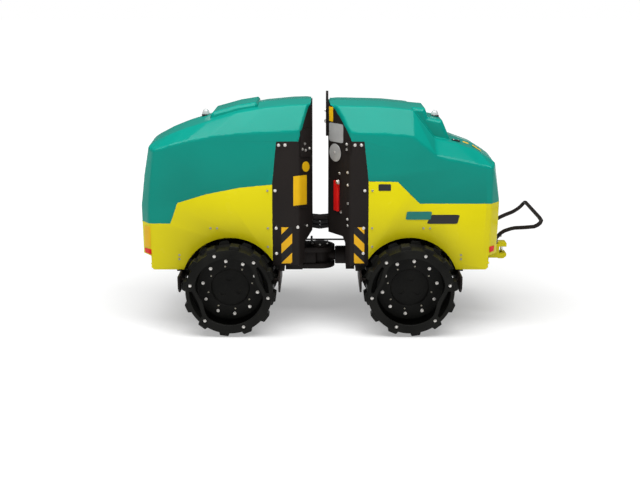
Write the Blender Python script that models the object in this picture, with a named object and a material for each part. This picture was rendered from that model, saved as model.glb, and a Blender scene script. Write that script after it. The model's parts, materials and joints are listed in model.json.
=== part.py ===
"""Trench roller: an articulated, remote-controlled compactor with padfoot drums.

World axes: +X runs from the front half to the rear half, +Y is the machine's right side, +Z is up,
and the floor is z = 0. Each half is described by distances from the steering pin: a "reach" grows
away from the pin, towards -X for the front half and towards +X for the rear half.
"""

import math

import bmesh
import bpy
from mathutils import Matrix, Vector

# Clearances and walls, in metres
GAP = 0.0003  # between pieces that touch
SEAM = 0.0008  # between two body panels
SKIN = 0.008  # wall of hoods, side panels and cheek plates
TURNING_CLEARANCE = 0.006  # between a scraper's tooth and the drum around it
SCRAPER_CLEARANCE = 0.008  # between a scraper's blade and the flats of the pads
ARCH_CLEARANCE = 0.013  # between the wheel arch and the flats of the pads
DECK_CLEARANCE = 0.028  # between the flats of the pads and the deck

# Body
BODY_HALF_WIDTH = 0.295
CREASE_HALF_WIDTH = 0.200  # upper edge of the sloping band along each hood
SECTION_OVERHANG = 0.006  # hood sections run this far past the body's sides, which cut them
END_FACE_HALF_WIDTH = 0.140  # flat part of each inner end, between its chamfers
CORNER_HALF_WIDTH = 0.230  # flat part of each outer end, between its chamfers
CORNER_SEAM = 0.006  # the end panel stops this far inside the corner
CORNER_CUT = 0.014  # cut off the lower corner of each side panel
PANEL_BOTTOM = 0.352
END_PANEL_BOTTOM = 0.432
CHEEK_BOTTOM = 0.375
HINGE_REACH = 0.050
HINGE_DROP = 0.003  # hood hinges lie this far below the top of the hood
HINGE_SWING = 0.009  # room that a hood's edge needs around its hinge, above the bulkhead
CREST_DRAFT = 0.016  # how far the sides of a raised part of a hood lean in

# Drums
SHELL_RADIUS = 0.238
SHELL_WALL = 0.016
PAD_HEIGHT = 0.022
PAD_DROP = 0.003  # the two outer rows of pads are this much lower than the inner row
PAD_TAPER = 0.006
PAD_HALF_ANGLE = math.radians(5.2)  # of a pad's flat top
PADS_PER_ROW = 12
DRUM_INNER_Y = 0.060
DRUM_HALF_WIDTH = 0.425
EXTENSION_WIDTH = 0.088  # of the ring that is bolted to each shell
PAD_ROW_SPACE = 0.065  # between the two rows on the shell
SPLIT_MARGIN = 0.042  # from the shell's outer row to its edge
RING_MARGIN = 0.006  # from the ring's row to its edge
RING_PLATE = 0.012
RING_PLATE_WIDTH = 0.048  # from the ring's outside to the plate's inner edge
STRAP_BULGE = 0.032  # how far the plate's inner edge comes in, past each window
STRAP_WIDTH = 0.022
STRAP_HALF_ANGLE = math.radians(37.5)
WINDOW_HALF_ANGLE = math.radians(22)
WINDOW_ANGLES = (20.5, 200.5)  # middles of the plate's two windows, in degrees
FINE_COUNT = 48  # points round the rows that show
COARSE_COUNT = 24
HUB_INSET = 0.031  # from the shell's edge in to the back of the hub disc
HUB_DISC = 0.016
HUB_STEP = 0.014  # the bolted ring on the hub stands this proud
HUB_RING_WIDTH = 0.078
HUB_RING_MARGIN = 0.037  # from the shell's inner wall to the bolted ring

PAD_FLAT_RADIUS = SHELL_RADIUS + PAD_HEIGHT
INNER_RADIUS = SHELL_RADIUS - SHELL_WALL
AXLE_HEIGHT = PAD_FLAT_RADIUS
ARCH_RADIUS = PAD_FLAT_RADIUS + ARCH_CLEARANCE
DRUM_SPLIT_Y = DRUM_HALF_WIDTH - EXTENSION_WIDTH
HUB_BACK_Y = DRUM_SPLIT_Y - HUB_INSET
ROW_B_END = DRUM_SPLIT_Y - SPLIT_MARGIN
ROW_LENGTH = (ROW_B_END - DRUM_INNER_Y - PAD_ROW_SPACE) / 2
ROW_C_END = DRUM_INNER_Y + ROW_LENGTH
ROW_B_START = ROW_B_END - ROW_LENGTH

# Frames and joint
DRUM_TO_PIN = 0.235  # from the flats of the pads to the steering pin
DECK_THICKNESS = 0.018
DECK_LAP = 0.005  # how far what is welded to the deck runs into it
BULKHEAD_LAP = 0.012  # how far the bulkheads come down past the deck
JOINT_HEIGHT = 0.355  # height of the oscillation axis
YOKE_HALF_WIDTH = 0.085
YOKE_PLATE = 0.026
YOKE_OPENING = 0.070
YOKE_CLEARANCE = 0.007
CAP_RADIUS = 0.062
CAP_TOP_RADIUS = 0.040
CAP_HEIGHT = 0.012
PIN_RADIUS = 0.026
KNUCKLE_RADIUS = 0.060
KNUCKLE_CLEARANCE = 0.003
HOUSING_RADIUS = 0.052
HOUSING_FOOT = 0.006
SHAFT_RADIUS = 0.030
KEEL_HALF_WIDTH = 0.100
KEEL_WALL = 0.020
KEEL_FRONT = 0.100
KEEL_REAR = 0.148
SCRAPER_BAR = 0.030
SCRAPER_BLADE = 0.010
SCRAPER_CUT = 0.030  # cut off the blade's lower corners
TOOTH_RISE = 0.032  # from the axle's height to the teeth
TOOTH_PLATE = 0.012
CARRIER_RADIUS = 0.150
CARRIER_CLEARANCE = 0.012
STUB_RADIUS = 0.085
END_PLATE_REACH = (0.945, 0.965)
END_PLATE_HALF_WIDTH = 0.100
END_PLATE_BOTTOM = 0.335

AXLE_REACH = DRUM_TO_PIN + PAD_FLAT_RADIUS
DECK_BOTTOM = AXLE_HEIGHT + PAD_FLAT_RADIUS + DECK_CLEARANCE
DECK_TOP = DECK_BOTTOM + DECK_THICKNESS
BULKHEAD_BOTTOM = DECK_BOTTOM - BULKHEAD_LAP
KEEL_END = DRUM_TO_PIN - SCRAPER_CLEARANCE - SCRAPER_BAR - GAP

# Steering cylinder, from its eye on the front half to its pin on the rear deck
CYLINDER_Y = -0.080
CYLINDER_RISE = 0.034  # of its axis above the deck
ROD_EYE = Vector((-0.068, CYLINDER_Y, DECK_TOP + CYLINDER_RISE))
BARREL_PIN = Vector((0.360, CYLINDER_Y, DECK_TOP + CYLINDER_RISE))
BARREL_START = 0.110
BARREL_END = 0.024  # from the barrel's end to its pin
BARREL_RADIUS = 0.026
BARREL_EYE_RADIUS = 0.028
BARREL_EYE_HALF = 0.016
BARREL_PIN_RADIUS = 0.012
ROD_RADIUS = 0.012
ROD_EYE_RADIUS = 0.020
ROD_EYE_HALF = 0.010
ROD_DEPTH = 0.100  # from the rod's inner end to the barrel's pin
SLOT_HALF_WIDTH = 0.054
SLOT_HALF_HEIGHT = 0.0285
PIN_BOSS_RADIUS = 0.020
EYE_BOSS_RADIUS = 0.014
EYE_BOSS_HEIGHT = 0.008

# Fittings
LAMP_RADIUS = 0.022
LAMP_HEIGHT = 0.036
LAMP_FOOT = 0.005
LIFTING_PLATE = (0.014, 0.030, 1.055, 1.302)  # thickness, half width, bottom, top
LIFTING_EYE_RADIUS = 0.014
LIFTING_EYE_DROP = 0.024  # from the plate's top to the eye
BOW_TUBE_RADIUS = 0.0115
BOW_BEND = 0.012
BOW_PLATE = (0.016, 0.022, 0.462, 0.512)  # thickness, half width, bottom, top
LOCK_BAR = (0.020, 0.012, 0.665, 0.835)  # half width, thickness, bottom, top
LOCK_BAR_PLACE = 0.080  # along the chamfer

# The extreme reaches set where the steering pin lies in the frame
FRONT_REACH = 0.984
HANDLE_REACH = 1.234
PIVOT_X = (FRONT_REACH - HANDLE_REACH) / 2

TEAL = ((0.005, 0.226, 0.174), 0.32, 0.0)
YELLOW = ((0.680, 0.610, 0.015), 0.34, 0.0)
BLACK = ((0.016, 0.015, 0.014), 0.50, 0.0)
DRUM_BLACK = ((0.012, 0.012, 0.012), 0.42, 0.2)
STEEL = ((0.420, 0.420, 0.430), 0.30, 1.0)
RED = ((0.620, 0.012, 0.010), 0.40, 0.0)
LAMP = ((0.780, 0.790, 0.800), 0.15, 0.0)
CASTING = ((0.030, 0.030, 0.032), 0.60, 0.3)

# Plan of each half by height. Columns: height, reach of the end face, reach where its chamfer starts
FRONT_PLAN = [
    (0.300, 0.982, 0.931),
    (0.700, FRONT_REACH, 0.933),
    (0.866, 0.962, 0.915),
    (1.060, 0.926, 0.886),
    (1.400, 0.863, 0.826),
]
REAR_PLAN = [
    (0.300, 0.982, 0.929),
    (0.725, 0.987, 0.934),
    (0.960, 0.952, 0.932),
    (1.400, 0.870, 0.855),
]
# Hood section by reach. Columns: reach, height at the side, at the upper crease, at the middle
FRONT_TOP = [
    (0.020, 1.119, 1.253, 1.262),
    (0.150, 1.119, 1.249, 1.260),
    (0.300, 1.114, 1.235, 1.247),
    (0.450, 1.105, 1.208, 1.222),
    (0.600, 1.089, 1.164, 1.180),
    (0.740, 1.061, 1.120, 1.138),
    (0.820, 1.040, 1.089, 1.106),
    (0.900, 1.015, 1.050, 1.064),
    (1.000, 0.982, 0.990, 0.998),
]
REAR_TOP = [
    (0.020, 1.113, 1.246, 1.254),
    (0.150, 1.112, 1.244, 1.254),
    (0.350, 1.106, 1.239, 1.248),
    (0.500, 1.093, 1.224, 1.232),
    (0.628, 0.987, 1.064, 1.072),
    (0.750, 0.961, 1.040, 1.050),
    (0.860, 0.938, 1.000, 1.010),
    (0.940, 0.921, 0.950, 0.960),
    (1.010, 0.906, 0.890, 0.895),
]
# Raised part of each hood in side view: the air intake's lid in front, the lamp's ledge behind.
# Columns: reach, height
FRONT_CREST = [(0.340, 1.10), (0.340, 1.243), (0.352, 1.2565), (0.450, 1.2405), (0.586, 1.203), (0.600, 1.186), (0.606, 1.10)]
REAR_CREST = [(0.440, 1.10), (0.440, 1.234), (0.576, 1.222), (0.593, 1.172), (0.672, 1.156), (0.716, 1.056), (0.730, 1.00)]
# Edge between the hood's teal side and the yellow side panel. Columns: reach, height
FRONT_BELT = [(1.100, 0.614), (0.818, 0.614), (0.776, 0.729), (0.615, 0.778), (0.441, 0.813), (0.2595, 0.831)]
REAR_BELT = [(1.100, 0.725), (0.543, 0.725), (0.422, 0.845), (0.2630, 0.849)]
# Edge between the hood and the black cheek, going inward and up its chamfer. Columns: reach, height
FRONT_CHEEK_EDGE = [(0.235, 1.066), (0.116, 1.066), (0.103, 1.100), (0.078, 1.190), (0.062, 1.232)]
REAR_CHEEK_EDGE = [(0.238, 1.066), (0.170, 1.066), (0.150, 1.110), (0.110, 1.180), (0.078, 1.226)]
# Window in the lower inner corner of both cheeks. Columns: reach, distance below the deck
FRONT_WINDOW = [(-0.100, 0.012), (0.043, 0.012), (0.086, 0.058), (0.086, 0.400), (-0.100, 0.400)]
REAR_WINDOW = [(-0.100, 0.020), (0.125, 0.020), (0.141, 0.061), (0.141, 0.400), (-0.100, 0.400)]

HALVES = {
    "front": dict(
        sign=-1,
        plan=FRONT_PLAN,
        top=FRONT_TOP,
        crest=FRONT_CREST,
        crest_half_width=0.150,
        belt=FRONT_BELT,
        cheek_edge=FRONT_CHEEK_EDGE,
        window=FRONT_WINDOW,
        inner_reach=0.043,
        chamfer_reach=0.113,
        cheek_reach=0.262,
        lamp_reach=0.638,
    ),
    "rear": dict(
        sign=1,
        plan=REAR_PLAN,
        top=REAR_TOP,
        crest=REAR_CREST,
        crest_half_width=0.135,
        belt=REAR_BELT,
        cheek_edge=REAR_CHEEK_EDGE,
        window=REAR_WINDOW,
        inner_reach=0.047,
        chamfer_reach=0.167,
        cheek_reach=0.268,
        lamp_reach=0.642,
    ),
}
SIDES = {"left": -1, "right": 1}
# Plain blocks for what is heavy. Columns: half, reach from and to, half width, top
MASSES = {
    "engine_block": ("front", 0.320, 0.800, 0.180, 0.985),
    "tank_block": ("rear", 0.410, 0.790, 0.220, 0.900),
}
# Tow jaw in side view. Columns: reach, height; each outline with its half width
JAW = [
    ([(0.0003, 0.346), (0.070, 0.346), (0.070, 0.428), (0.0003, 0.428)], 0.040),
    ([(0.065, 0.412), (0.112, 0.412), (0.112, 0.433), (0.065, 0.433)], 0.038),
    ([(0.065, 0.342), (0.095, 0.342), (0.113, 0.356), (0.113, 0.372), (0.065, 0.372)], 0.038),
]
# Middle line of one half of the handle bow. Columns: reach, y, height
BOW_ROUTE = [
    (0.995, 0.135, 0.490),
    (1.030, 0.135, 0.528),
    (1.085, 0.150, 0.552),
    (1.150, 0.190, 0.566),
    (1.196, 0.232, 0.582),
    (1.2245, 0.240, 0.612),
    (1.222, 0.190, 0.622),
]


# Scene and materials
def clear_scene():
    for item in list(bpy.data.objects):
        bpy.data.objects.remove(item)


def material(name, look):
    color, roughness, metallic = look
    mat = bpy.data.materials.new(name)
    mat.use_nodes = True
    shader = mat.node_tree.nodes["Principled BSDF"]
    shader.inputs["Base Color"].default_value = (*color, 1.0)
    shader.inputs["Roughness"].default_value = roughness
    shader.inputs["Metallic"].default_value = metallic
    return mat


def carrier(name, x, y, z, parent=None):
    """An empty at a body's joint, which carries the body's pieces."""
    empty = bpy.data.objects.new(name, None)
    bpy.context.collection.objects.link(empty)
    empty.location = (x + PIVOT_X, y, z)
    if parent:
        empty.parent = parent
        empty.location = Vector(empty.location) - world_place(parent)
    return empty


def world_place(empty):
    place = Vector(empty.location)
    while empty.parent:
        empty = empty.parent
        place += empty.location
    return place


# Solids, all in machine coordinates with the steering pin at x = 0
def solid(bm, name="solid"):
    bmesh.ops.remove_doubles(bm, verts=bm.verts, dist=1e-6)
    bmesh.ops.recalc_face_normals(bm, faces=bm.faces)
    mesh = bpy.data.meshes.new(name)
    bm.to_mesh(mesh)
    bm.free()
    item = bpy.data.objects.new(name, mesh)
    bpy.context.collection.objects.link(item)
    return item


def combine(target, tool, operation):
    """Joins, cuts or intersects two solids, and uses up the tool."""
    modifier = target.modifiers.new(operation.lower(), "BOOLEAN")
    modifier.operation = operation
    modifier.solver = "EXACT"
    modifier.object = tool
    bpy.context.view_layer.update()
    graph = bpy.context.evaluated_depsgraph_get()
    mesh = bpy.data.meshes.new_from_object(target.evaluated_get(graph))
    target.modifiers.clear()
    target.data = mesh
    bpy.data.objects.remove(tool)
    return target


def union(target, *tools):
    for tool in tools:
        combine(target, tool, "UNION")
    return target


def cut(target, *tools):
    for tool in tools:
        combine(target, tool, "DIFFERENCE")
    return target


def common(target, tool):
    return combine(target, tool, "INTERSECT")


def twin(item):
    copy = bpy.data.objects.new(item.name, item.data.copy())
    bpy.context.collection.objects.link(copy)
    return copy


def loft(rings, twisted=False):
    """A closed solid through rings that have the same number of points.

    Twisted sides are parted along their longer diagonal, the same way on both faces of a wall.
    """
    bm = bmesh.new()
    loops = [[bm.verts.new(p) for p in ring] for ring in rings]
    count = len(loops[0])
    for low, high in zip(loops, loops[1:]):
        for i in range(count):
            bm.faces.new((low[i], low[(i + 1) % count], high[(i + 1) % count], high[i]))
    if twisted:
        bmesh.ops.triangulate(bm, faces=bm.faces, quad_method="LONG_EDGE")
    bm.faces.new(loops[0])
    bm.faces.new(loops[-1])
    return solid(bm)


def side_prism(outline, y0, y1):
    """Extrudes an outline of (x, z) points along Y."""
    return loft([[(x, y, z) for x, z in outline] for y in (y0, y1)])


def end_prism(outline, x0, x1):
    """Extrudes an outline of (z, y) points along X."""
    return loft([[(x, y, z) for z, y in outline] for x in (x0, x1)])


def plan_prism(outline, z0, z1):
    """Extrudes an outline of (x, y) points along Z."""
    return loft([[(x, y, z) for x, y in outline] for z in (z0, z1)])


def box(x0, x1, y0, y1, z0, z1):
    return plan_prism([(x0, y0), (x1, y0), (x1, y1), (x0, y1)], z0, z1)


def bounded(half, r0, r1, y0, y1, z0, z1):
    """A box between two reaches."""
    a, b = sorted((half["sign"] * r0, half["sign"] * r1))
    return box(a, b, y0, y1, z0, z1)


def circle(radius, segments):
    step = 2 * math.pi / segments
    return [(radius * math.cos(i * step), radius * math.sin(i * step)) for i in range(segments)]


def rod(axis, centre, radius, low, high, segments=24, end_radius=None):
    """A round bar or cone along one axis. The centre's entry on that axis isn't used."""
    end_radius = radius if end_radius is None else end_radius
    others = [i for i in range(3) if i != axis]
    rings = []
    for place, r in ((low, radius), (high, end_radius)):
        ring = []
        for a, b in circle(r, segments):
            point = list(centre)
            point[others[0]] += a
            point[others[1]] += b
            point[axis] = place
            ring.append(point)
        rings.append(ring)
    return loft(rings)


def turned_solid(profile, centre, axis, segments):
    """Revolves a profile of (place along the axis, radius) points that starts and ends on the axis."""
    others = [i for i in range(3) if i != axis]
    bm = bmesh.new()
    rings = []
    for place, radius in profile:
        ring = []
        for a, b in circle(radius, segments if radius else 1):
            point = list(centre)
            point[axis] = place
            point[others[0]] += a
            point[others[1]] += b
            ring.append(bm.verts.new(point))
        rings.append(ring)
    for low, high in zip(rings, rings[1:]):
        for i in range(segments):
            j = (i + 1) % segments
            corners = [low[i % len(low)], low[j % len(low)], high[j % len(high)], high[i % len(high)]]
            bm.faces.new(list(dict.fromkeys(corners)))
    return solid(bm)


def inset(outline, distance):
    """Moves each edge of a closed outline inward, whichever way round it runs."""
    area = sum(a[0] * b[1] - b[0] * a[1] for a, b in zip(outline, outline[1:] + outline[:1]))
    turn = distance if area > 0 else -distance
    lines = []
    for (ax, ay), (bx, by) in zip(outline, outline[1:] + outline[:1]):
        length = math.hypot(bx - ax, by - ay)
        nx, ny = -(by - ay) / length * turn, (bx - ax) / length * turn
        lines.append((ax + nx, ay + ny, bx - ax, by - ay))
    moved = []
    for (px, py, dx, dy), (qx, qy, ex, ey) in zip(lines[-1:] + lines[:-1], lines):
        cross = dx * ey - dy * ex
        if abs(cross) < 1e-12:
            moved.append((qx, qy))
            continue
        t = ((qx - px) * ey - (qy - py) * ex) / cross
        moved.append((px + dx * t, py + dy * t))
    return moved


def mirrored(points):
    """The points, and then the mirror images of those off the middle, in reverse order."""
    return list(points) + [(a, -y) for a, y in reversed(points) if y]


def arc_angles(first, last, count):
    return [math.radians(first + (last - first) * i / (count - 1)) for i in range(count)]


def table_value(rows, column, at):
    """Reads one column of a table between its rows, or past its ends."""
    low, high = rows[:2]
    for pair in zip(rows, rows[1:]):
        if pair[0][0] <= at:
            low, high = pair
    return low[column] + (at - low[0]) / (high[0] - low[0]) * (high[column] - low[column])


# Body panels
def plan_outline(half, end_reach, corner_reach, wall=0.0):
    s = half["sign"]
    right = [
        (s * half["inner_reach"], END_FACE_HALF_WIDTH),
        (s * half["chamfer_reach"], BODY_HALF_WIDTH),
        (s * corner_reach, BODY_HALF_WIDTH),
        (s * end_reach, CORNER_HALF_WIDTH),
    ]
    return inset(mirrored(right), wall)


def plan_ring(half, z, wall=0.0):
    """The plan outline of one half at a height, drawn in by the wall."""
    reaches = [table_value(half["plan"], column, z) for column in (1, 2)]
    return [(x, y, z) for x, y in plan_outline(half, *reaches, wall)]


def top_section(row, wall=0.0):
    """Section across a hood, from well below the belt up over the creases."""
    _, side, crease, middle = row
    slope = (crease - side) / (BODY_HALF_WIDTH - CREASE_HALF_WIDTH)
    wide = BODY_HALF_WIDTH + SECTION_OVERHANG
    outer = side - slope * SECTION_OVERHANG
    return inset(mirrored([(0.1, wide), (outer, wide), (crease, CREASE_HALF_WIDTH), (middle, 0.0)]), wall)


def crest(half, wall):
    """The raised part of a hood, with drafted sides."""
    outline = inset(half["crest"], wall)
    drawn_in = inset(half["crest"], wall + CREST_DRAFT)
    wide = half["crest_half_width"] - wall
    stations = ((-wide, drawn_in), (CREST_DRAFT - wide, outline), (wide - CREST_DRAFT, outline), (wide, drawn_in))
    return loft([[(half["sign"] * x, y, z) for x, z in points] for y, points in stations])


def body_block(half, wall, bottom):
    """The whole half as one solid, drawn in by the wall."""
    heights = [bottom] + [row[0] for row in half["plan"][1:]]
    block = loft([plan_ring(half, z, wall) for z in heights], twisted=True)
    stations = [[(half["sign"] * row[0], y, z) for z, y in top_section(row, wall)] for row in half["top"]]
    common(block, loft(stations, twisted=True))
    return union(block, crest(half, wall))


def hood_height(half, reach):
    """Height of the hood's middle line, on its raised part where there is one."""
    height = table_value(half["top"], 3, reach)
    if half["crest"][0][0] < reach < half["crest"][-1][0]:
        height = max(height, table_value(half["crest"], 1, reach))
    return height


def hinge_height(half):
    return half["top"][0][3] - HINGE_DROP


def region(half, outline):
    """A prism over an outline in side view, drawn in by half a seam."""
    return side_prism([(half["sign"] * x, z) for x, z in inset(outline, SEAM / 2)], -0.5, 0.5)


def hood_outline(half):
    edge = half["belt"] + half["cheek_edge"]
    lip = edge[-1][1] + 0.030
    return edge + [(half["inner_reach"], lip), (-0.1, lip), (-0.1, 1.5), (1.1, 1.5)]


def skirt_outline(half):
    return half["belt"] + [(half["cheek_reach"], 0.25), (1.1, 0.25)]


def cheek_outline(half):
    edge = [half["belt"][-1]] + half["cheek_edge"]
    top = hinge_height(half) - HINGE_SWING
    return edge + [(half["inner_reach"], top), (-0.1, top), (-0.1, 0.25), (half["cheek_reach"], 0.25)]


def wheel_arch(half):
    return rod(1, (half["sign"] * AXLE_REACH, 0, AXLE_HEIGHT), ARCH_RADIUS, -0.5, 0.5, 64)


def below_panels(half):
    """Everything under the lower edge of the side and end panels."""
    corner = half["plan"][0][2] + 0.002
    edge = [
        (corner - CORNER_CUT, PANEL_BOTTOM),
        (corner, PANEL_BOTTOM + CORNER_CUT),
        (corner, END_PANEL_BOTTOM),
        (1.2, END_PANEL_BOTTOM),
    ]
    outline = [(0.0, 0.2), (0.0, PANEL_BOTTOM)] + edge + [(1.2, 0.2)]
    return side_prism([(half["sign"] * x, z) for x, z in outline], -0.5, 0.5)


def body_panels(name, half):
    """The hood, side panels, end panel, cheeks and bulkhead of one half."""
    shell = cut(body_block(half, 0.0, 0.30), body_block(half, SKIN, 0.28))
    pieces = {f"{name}_hood": common(twin(shell), region(half, hood_outline(half)))}
    skirt = common(twin(shell), region(half, skirt_outline(half)))
    cut(skirt, wheel_arch(half), below_panels(half))
    split = CORNER_HALF_WIDTH - CORNER_SEAM
    end_split = split - SEAM / 2
    pieces[f"{name}_end_panel"] = common(twin(skirt), bounded(half, 0.9, 1.2, -end_split, end_split, 0.2, 1.5))
    cheek = common(shell, region(half, cheek_outline(half)))
    window = [(half["sign"] * x, DECK_BOTTOM - drop) for x, drop in half["window"]]
    cut(cheek, side_prism(window, -0.5, 0.5))
    flat = END_FACE_HALF_WIDTH - SKIN
    for side, s in SIDES.items():
        wide = sorted((s * 0.1, s * 0.5))
        outer = sorted((s * (split + SEAM / 2), s * 0.5))
        panel = union(bounded(half, 0.0, 0.91, *wide, 0.2, 1.5), bounded(half, 0.90, 1.2, *outer, 0.2, 1.5))
        pieces[f"{name}_side_panel_{side}"] = common(twin(skirt), panel)
        beside = sorted((s * (flat + SEAM), s * 0.5))
        pieces[f"{name}_cheek_{side}"] = common(twin(cheek), box(-2, 2, *beside, CHEEK_BOTTOM, 1.5))
    bulkhead = common(cheek, box(-2, 2, -flat, flat, BULKHEAD_BOTTOM, 1.5))
    slot_y = (CYLINDER_Y - SLOT_HALF_WIDTH, CYLINDER_Y + SLOT_HALF_WIDTH)
    slot_z = (ROD_EYE.z - SLOT_HALF_HEIGHT, ROD_EYE.z + SLOT_HALF_HEIGHT)
    pieces[f"{name}_bulkhead"] = cut(bulkhead, box(-0.2, 0.2, *slot_y, *slot_z))
    bpy.data.objects.remove(skirt)
    return pieces


# Padfoot drums
def bridge(bm, low, high):
    """Faces between two loops of (angle, vertex) points, which may differ in count and in first angle."""

    def angle(loop, i):
        return loop[i % len(loop)][0] + 2 * math.pi * (i // len(loop))

    faces = []
    i = j = 0
    while i < len(low) or j < len(high):
        ahead = angle(low, i + 1) - angle(high, j + 1)
        corners = [low[i % len(low)][1]]
        if i < len(low) and (ahead < 1e-6 or j == len(high)):
            i += 1
            corners.append(low[i % len(low)][1])
        last = high[j % len(high)][1]
        if j < len(high) and (ahead > -1e-6 or len(corners) == 1):
            j += 1
            corners.append(high[j % len(high)][1])
        corners.append(last)
        faces.append(bm.faces.new(corners))
    return faces


def turned_wall(loops, centre, side):
    """A closed wall through loops about an axle, and the faces between each loop and the next.

    Each loop has the columns: width, radius or a function that gives it by angle, points, first angle.
    """
    bm = bmesh.new()
    rings = []
    for width, radius, count, first in loops:
        ring = []
        for i in range(count):
            angle = first + 2 * math.pi * i / count
            r = radius(angle) if callable(radius) else radius
            place = (centre[0] + r * math.cos(angle), side * width, centre[1] + r * math.sin(angle))
            ring.append((angle, bm.verts.new(place)))
        rings.append(ring)
    return bm, [bridge(bm, low, high) for low, high in zip(rings, rings[1:] + rings[:1])]


def raise_pads(bm, band, first, flat_radius, centre):
    """Pulls every other stretch of a band of faces out into a pad with a flat top and leaning sides."""
    per_pitch = len(band) // PADS_PER_ROW
    for k in range(PADS_PER_ROW):
        pad = band[k * per_pitch : k * per_pitch + per_pitch // 2]
        middle = first + (k + 0.25) * 2 * math.pi / PADS_PER_ROW
        made = bmesh.ops.extrude_face_region(bm, geom=pad)
        bmesh.ops.delete(bm, geom=pad, context="FACES_ONLY")
        verts = [item for item in made["geom"] if isinstance(item, bmesh.types.BMVert)]
        width_middle = sum(vert.co.y for vert in verts) / len(verts)
        for vert in verts:
            x, z = vert.co.x - centre[0], vert.co.z - centre[1]
            offset = (math.atan2(z, x) - middle + math.pi) % (2 * math.pi) - math.pi
            offset = max(-PAD_HALF_ANGLE, min(PAD_HALF_ANGLE, offset))
            radius = flat_radius / math.cos(offset)
            vert.co.x = centre[0] + radius * math.cos(middle + offset)
            vert.co.z = centre[1] + radius * math.sin(middle + offset)
            vert.co.y += math.copysign(PAD_TAPER, width_middle - vert.co.y)


def drum_shell(centre, side, row_b, row_c):
    """Inner part of a half drum, with two rows of pads that stand in the gaps of each other."""
    bm, bands = turned_wall(
        [
            (DRUM_INNER_Y, SHELL_RADIUS, COARSE_COUNT, row_c),
            (ROW_C_END, SHELL_RADIUS, COARSE_COUNT, row_c),
            (ROW_B_START, SHELL_RADIUS, FINE_COUNT, row_b),
            (ROW_B_END, SHELL_RADIUS, FINE_COUNT, row_b),
            (DRUM_SPLIT_Y, SHELL_RADIUS, FINE_COUNT, row_b),
            (DRUM_SPLIT_Y, INNER_RADIUS, COARSE_COUNT, row_b),
            (DRUM_INNER_Y, INNER_RADIUS, COARSE_COUNT, row_b),
        ],
        centre,
        side,
    )
    raise_pads(bm, bands[0], row_c, PAD_FLAT_RADIUS, centre)
    raise_pads(bm, bands[2], row_b, PAD_FLAT_RADIUS - PAD_DROP, centre)
    return solid(bm)


def drum_ring(centre, side, row_a, windows):
    """Extension ring with one row of pads, and a plate with two windows that straps bridge."""

    def plate_edge(angle):
        radius = SHELL_RADIUS - RING_PLATE_WIDTH
        for middle in windows:
            offset = (angle - middle + math.pi) % (2 * math.pi) - math.pi
            if abs(offset) < STRAP_HALF_ANGLE:
                radius -= STRAP_BULGE * math.cos(offset / STRAP_HALF_ANGLE * math.pi / 2) ** 2
        return radius

    start = DRUM_SPLIT_Y + GAP
    plate_y = DRUM_HALF_WIDTH - RING_PLATE
    edge_first = windows[0] - 2 * math.pi * round((windows[0] - row_a) / (2 * math.pi) * COARSE_COUNT) / COARSE_COUNT
    bm, bands = turned_wall(
        [
            (start, SHELL_RADIUS, FINE_COUNT, row_a),
            (DRUM_HALF_WIDTH - RING_MARGIN, SHELL_RADIUS, FINE_COUNT, row_a),
            (DRUM_HALF_WIDTH, SHELL_RADIUS - RING_MARGIN / 2, FINE_COUNT, row_a),
            (DRUM_HALF_WIDTH, plate_edge, COARSE_COUNT, edge_first),
            (plate_y, plate_edge, COARSE_COUNT, edge_first),
            (plate_y, INNER_RADIUS, COARSE_COUNT, edge_first),
            (start, INNER_RADIUS, COARSE_COUNT, edge_first),
        ],
        centre,
        side,
    )
    raise_pads(bm, bands[0], row_a, PAD_FLAT_RADIUS - PAD_DROP, centre)
    ring = solid(bm)
    spread = [WINDOW_HALF_ANGLE * k / 2 for k in (-2, -1, 0, 1, 2)]
    for middle in windows:
        far = [(middle + a, INNER_RADIUS - RING_MARGIN) for a in spread]
        near = [(middle - a, plate_edge(middle - a) + STRAP_WIDTH) for a in spread]
        outline = [(centre[0] + r * math.cos(a), centre[1] + r * math.sin(a)) for a, r in far + near]
        cut(ring, side_prism(outline, *sorted((side * (plate_y - 0.01), side * (DRUM_HALF_WIDTH + 0.01)))))
    return ring


def hub(centre, side):
    """Disc inside the shell, with a raised ring for its bolts round a shallow dish."""
    rim = INNER_RADIUS - GAP / math.cos(math.pi / COARSE_COUNT)
    front_y = HUB_BACK_Y + HUB_DISC
    ring_radius = INNER_RADIUS - HUB_RING_MARGIN
    profile = [
        (HUB_BACK_Y, 0.0),
        (HUB_BACK_Y, rim),
        (front_y, rim),
        (front_y, ring_radius),
        (front_y + HUB_STEP, ring_radius),
        (front_y + HUB_STEP, ring_radius - HUB_RING_WIDTH),
        (front_y + HUB_STEP / 4, ring_radius - HUB_RING_WIDTH - HUB_STEP / 2),
        (front_y + HUB_STEP / 4, 0.0),
    ]
    return turned_solid([(side * y, r) for y, r in profile], (centre[0], 0, centre[1]), 1, COARSE_COUNT)


def half_drum(name, half, side_name):
    """The pieces of one half drum. Its rows are mirrored between the front and the rear of the machine."""
    s = half["sign"]
    side = SIDES[side_name]
    centre = (s * AXLE_REACH, AXLE_HEIGHT)
    pitch = 360 / PADS_PER_ROW
    row_a, row_b, row_c = (math.radians(270 + turn * pitch / 4 - pitch / 4) for turn in (s, -s, 0))
    windows = [math.radians(a if s < 0 else 180 - a) for a in WINDOW_ANGLES]
    return {
        f"{name}_drum_{side_name}": drum_shell(centre, side, row_b, row_c),
        f"{name}_drum_ring_{side_name}": drum_ring(centre, side, row_a, windows),
        f"{name}_hub_{side_name}": hub(centre, side),
    }


# Frames and the joint between them
def deck_plate(half):
    """The floor of one half, whose edges carry the panels."""
    return loft([plan_ring(half, z, SKIN + GAP) for z in (DECK_BOTTOM, DECK_TOP)])


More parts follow.
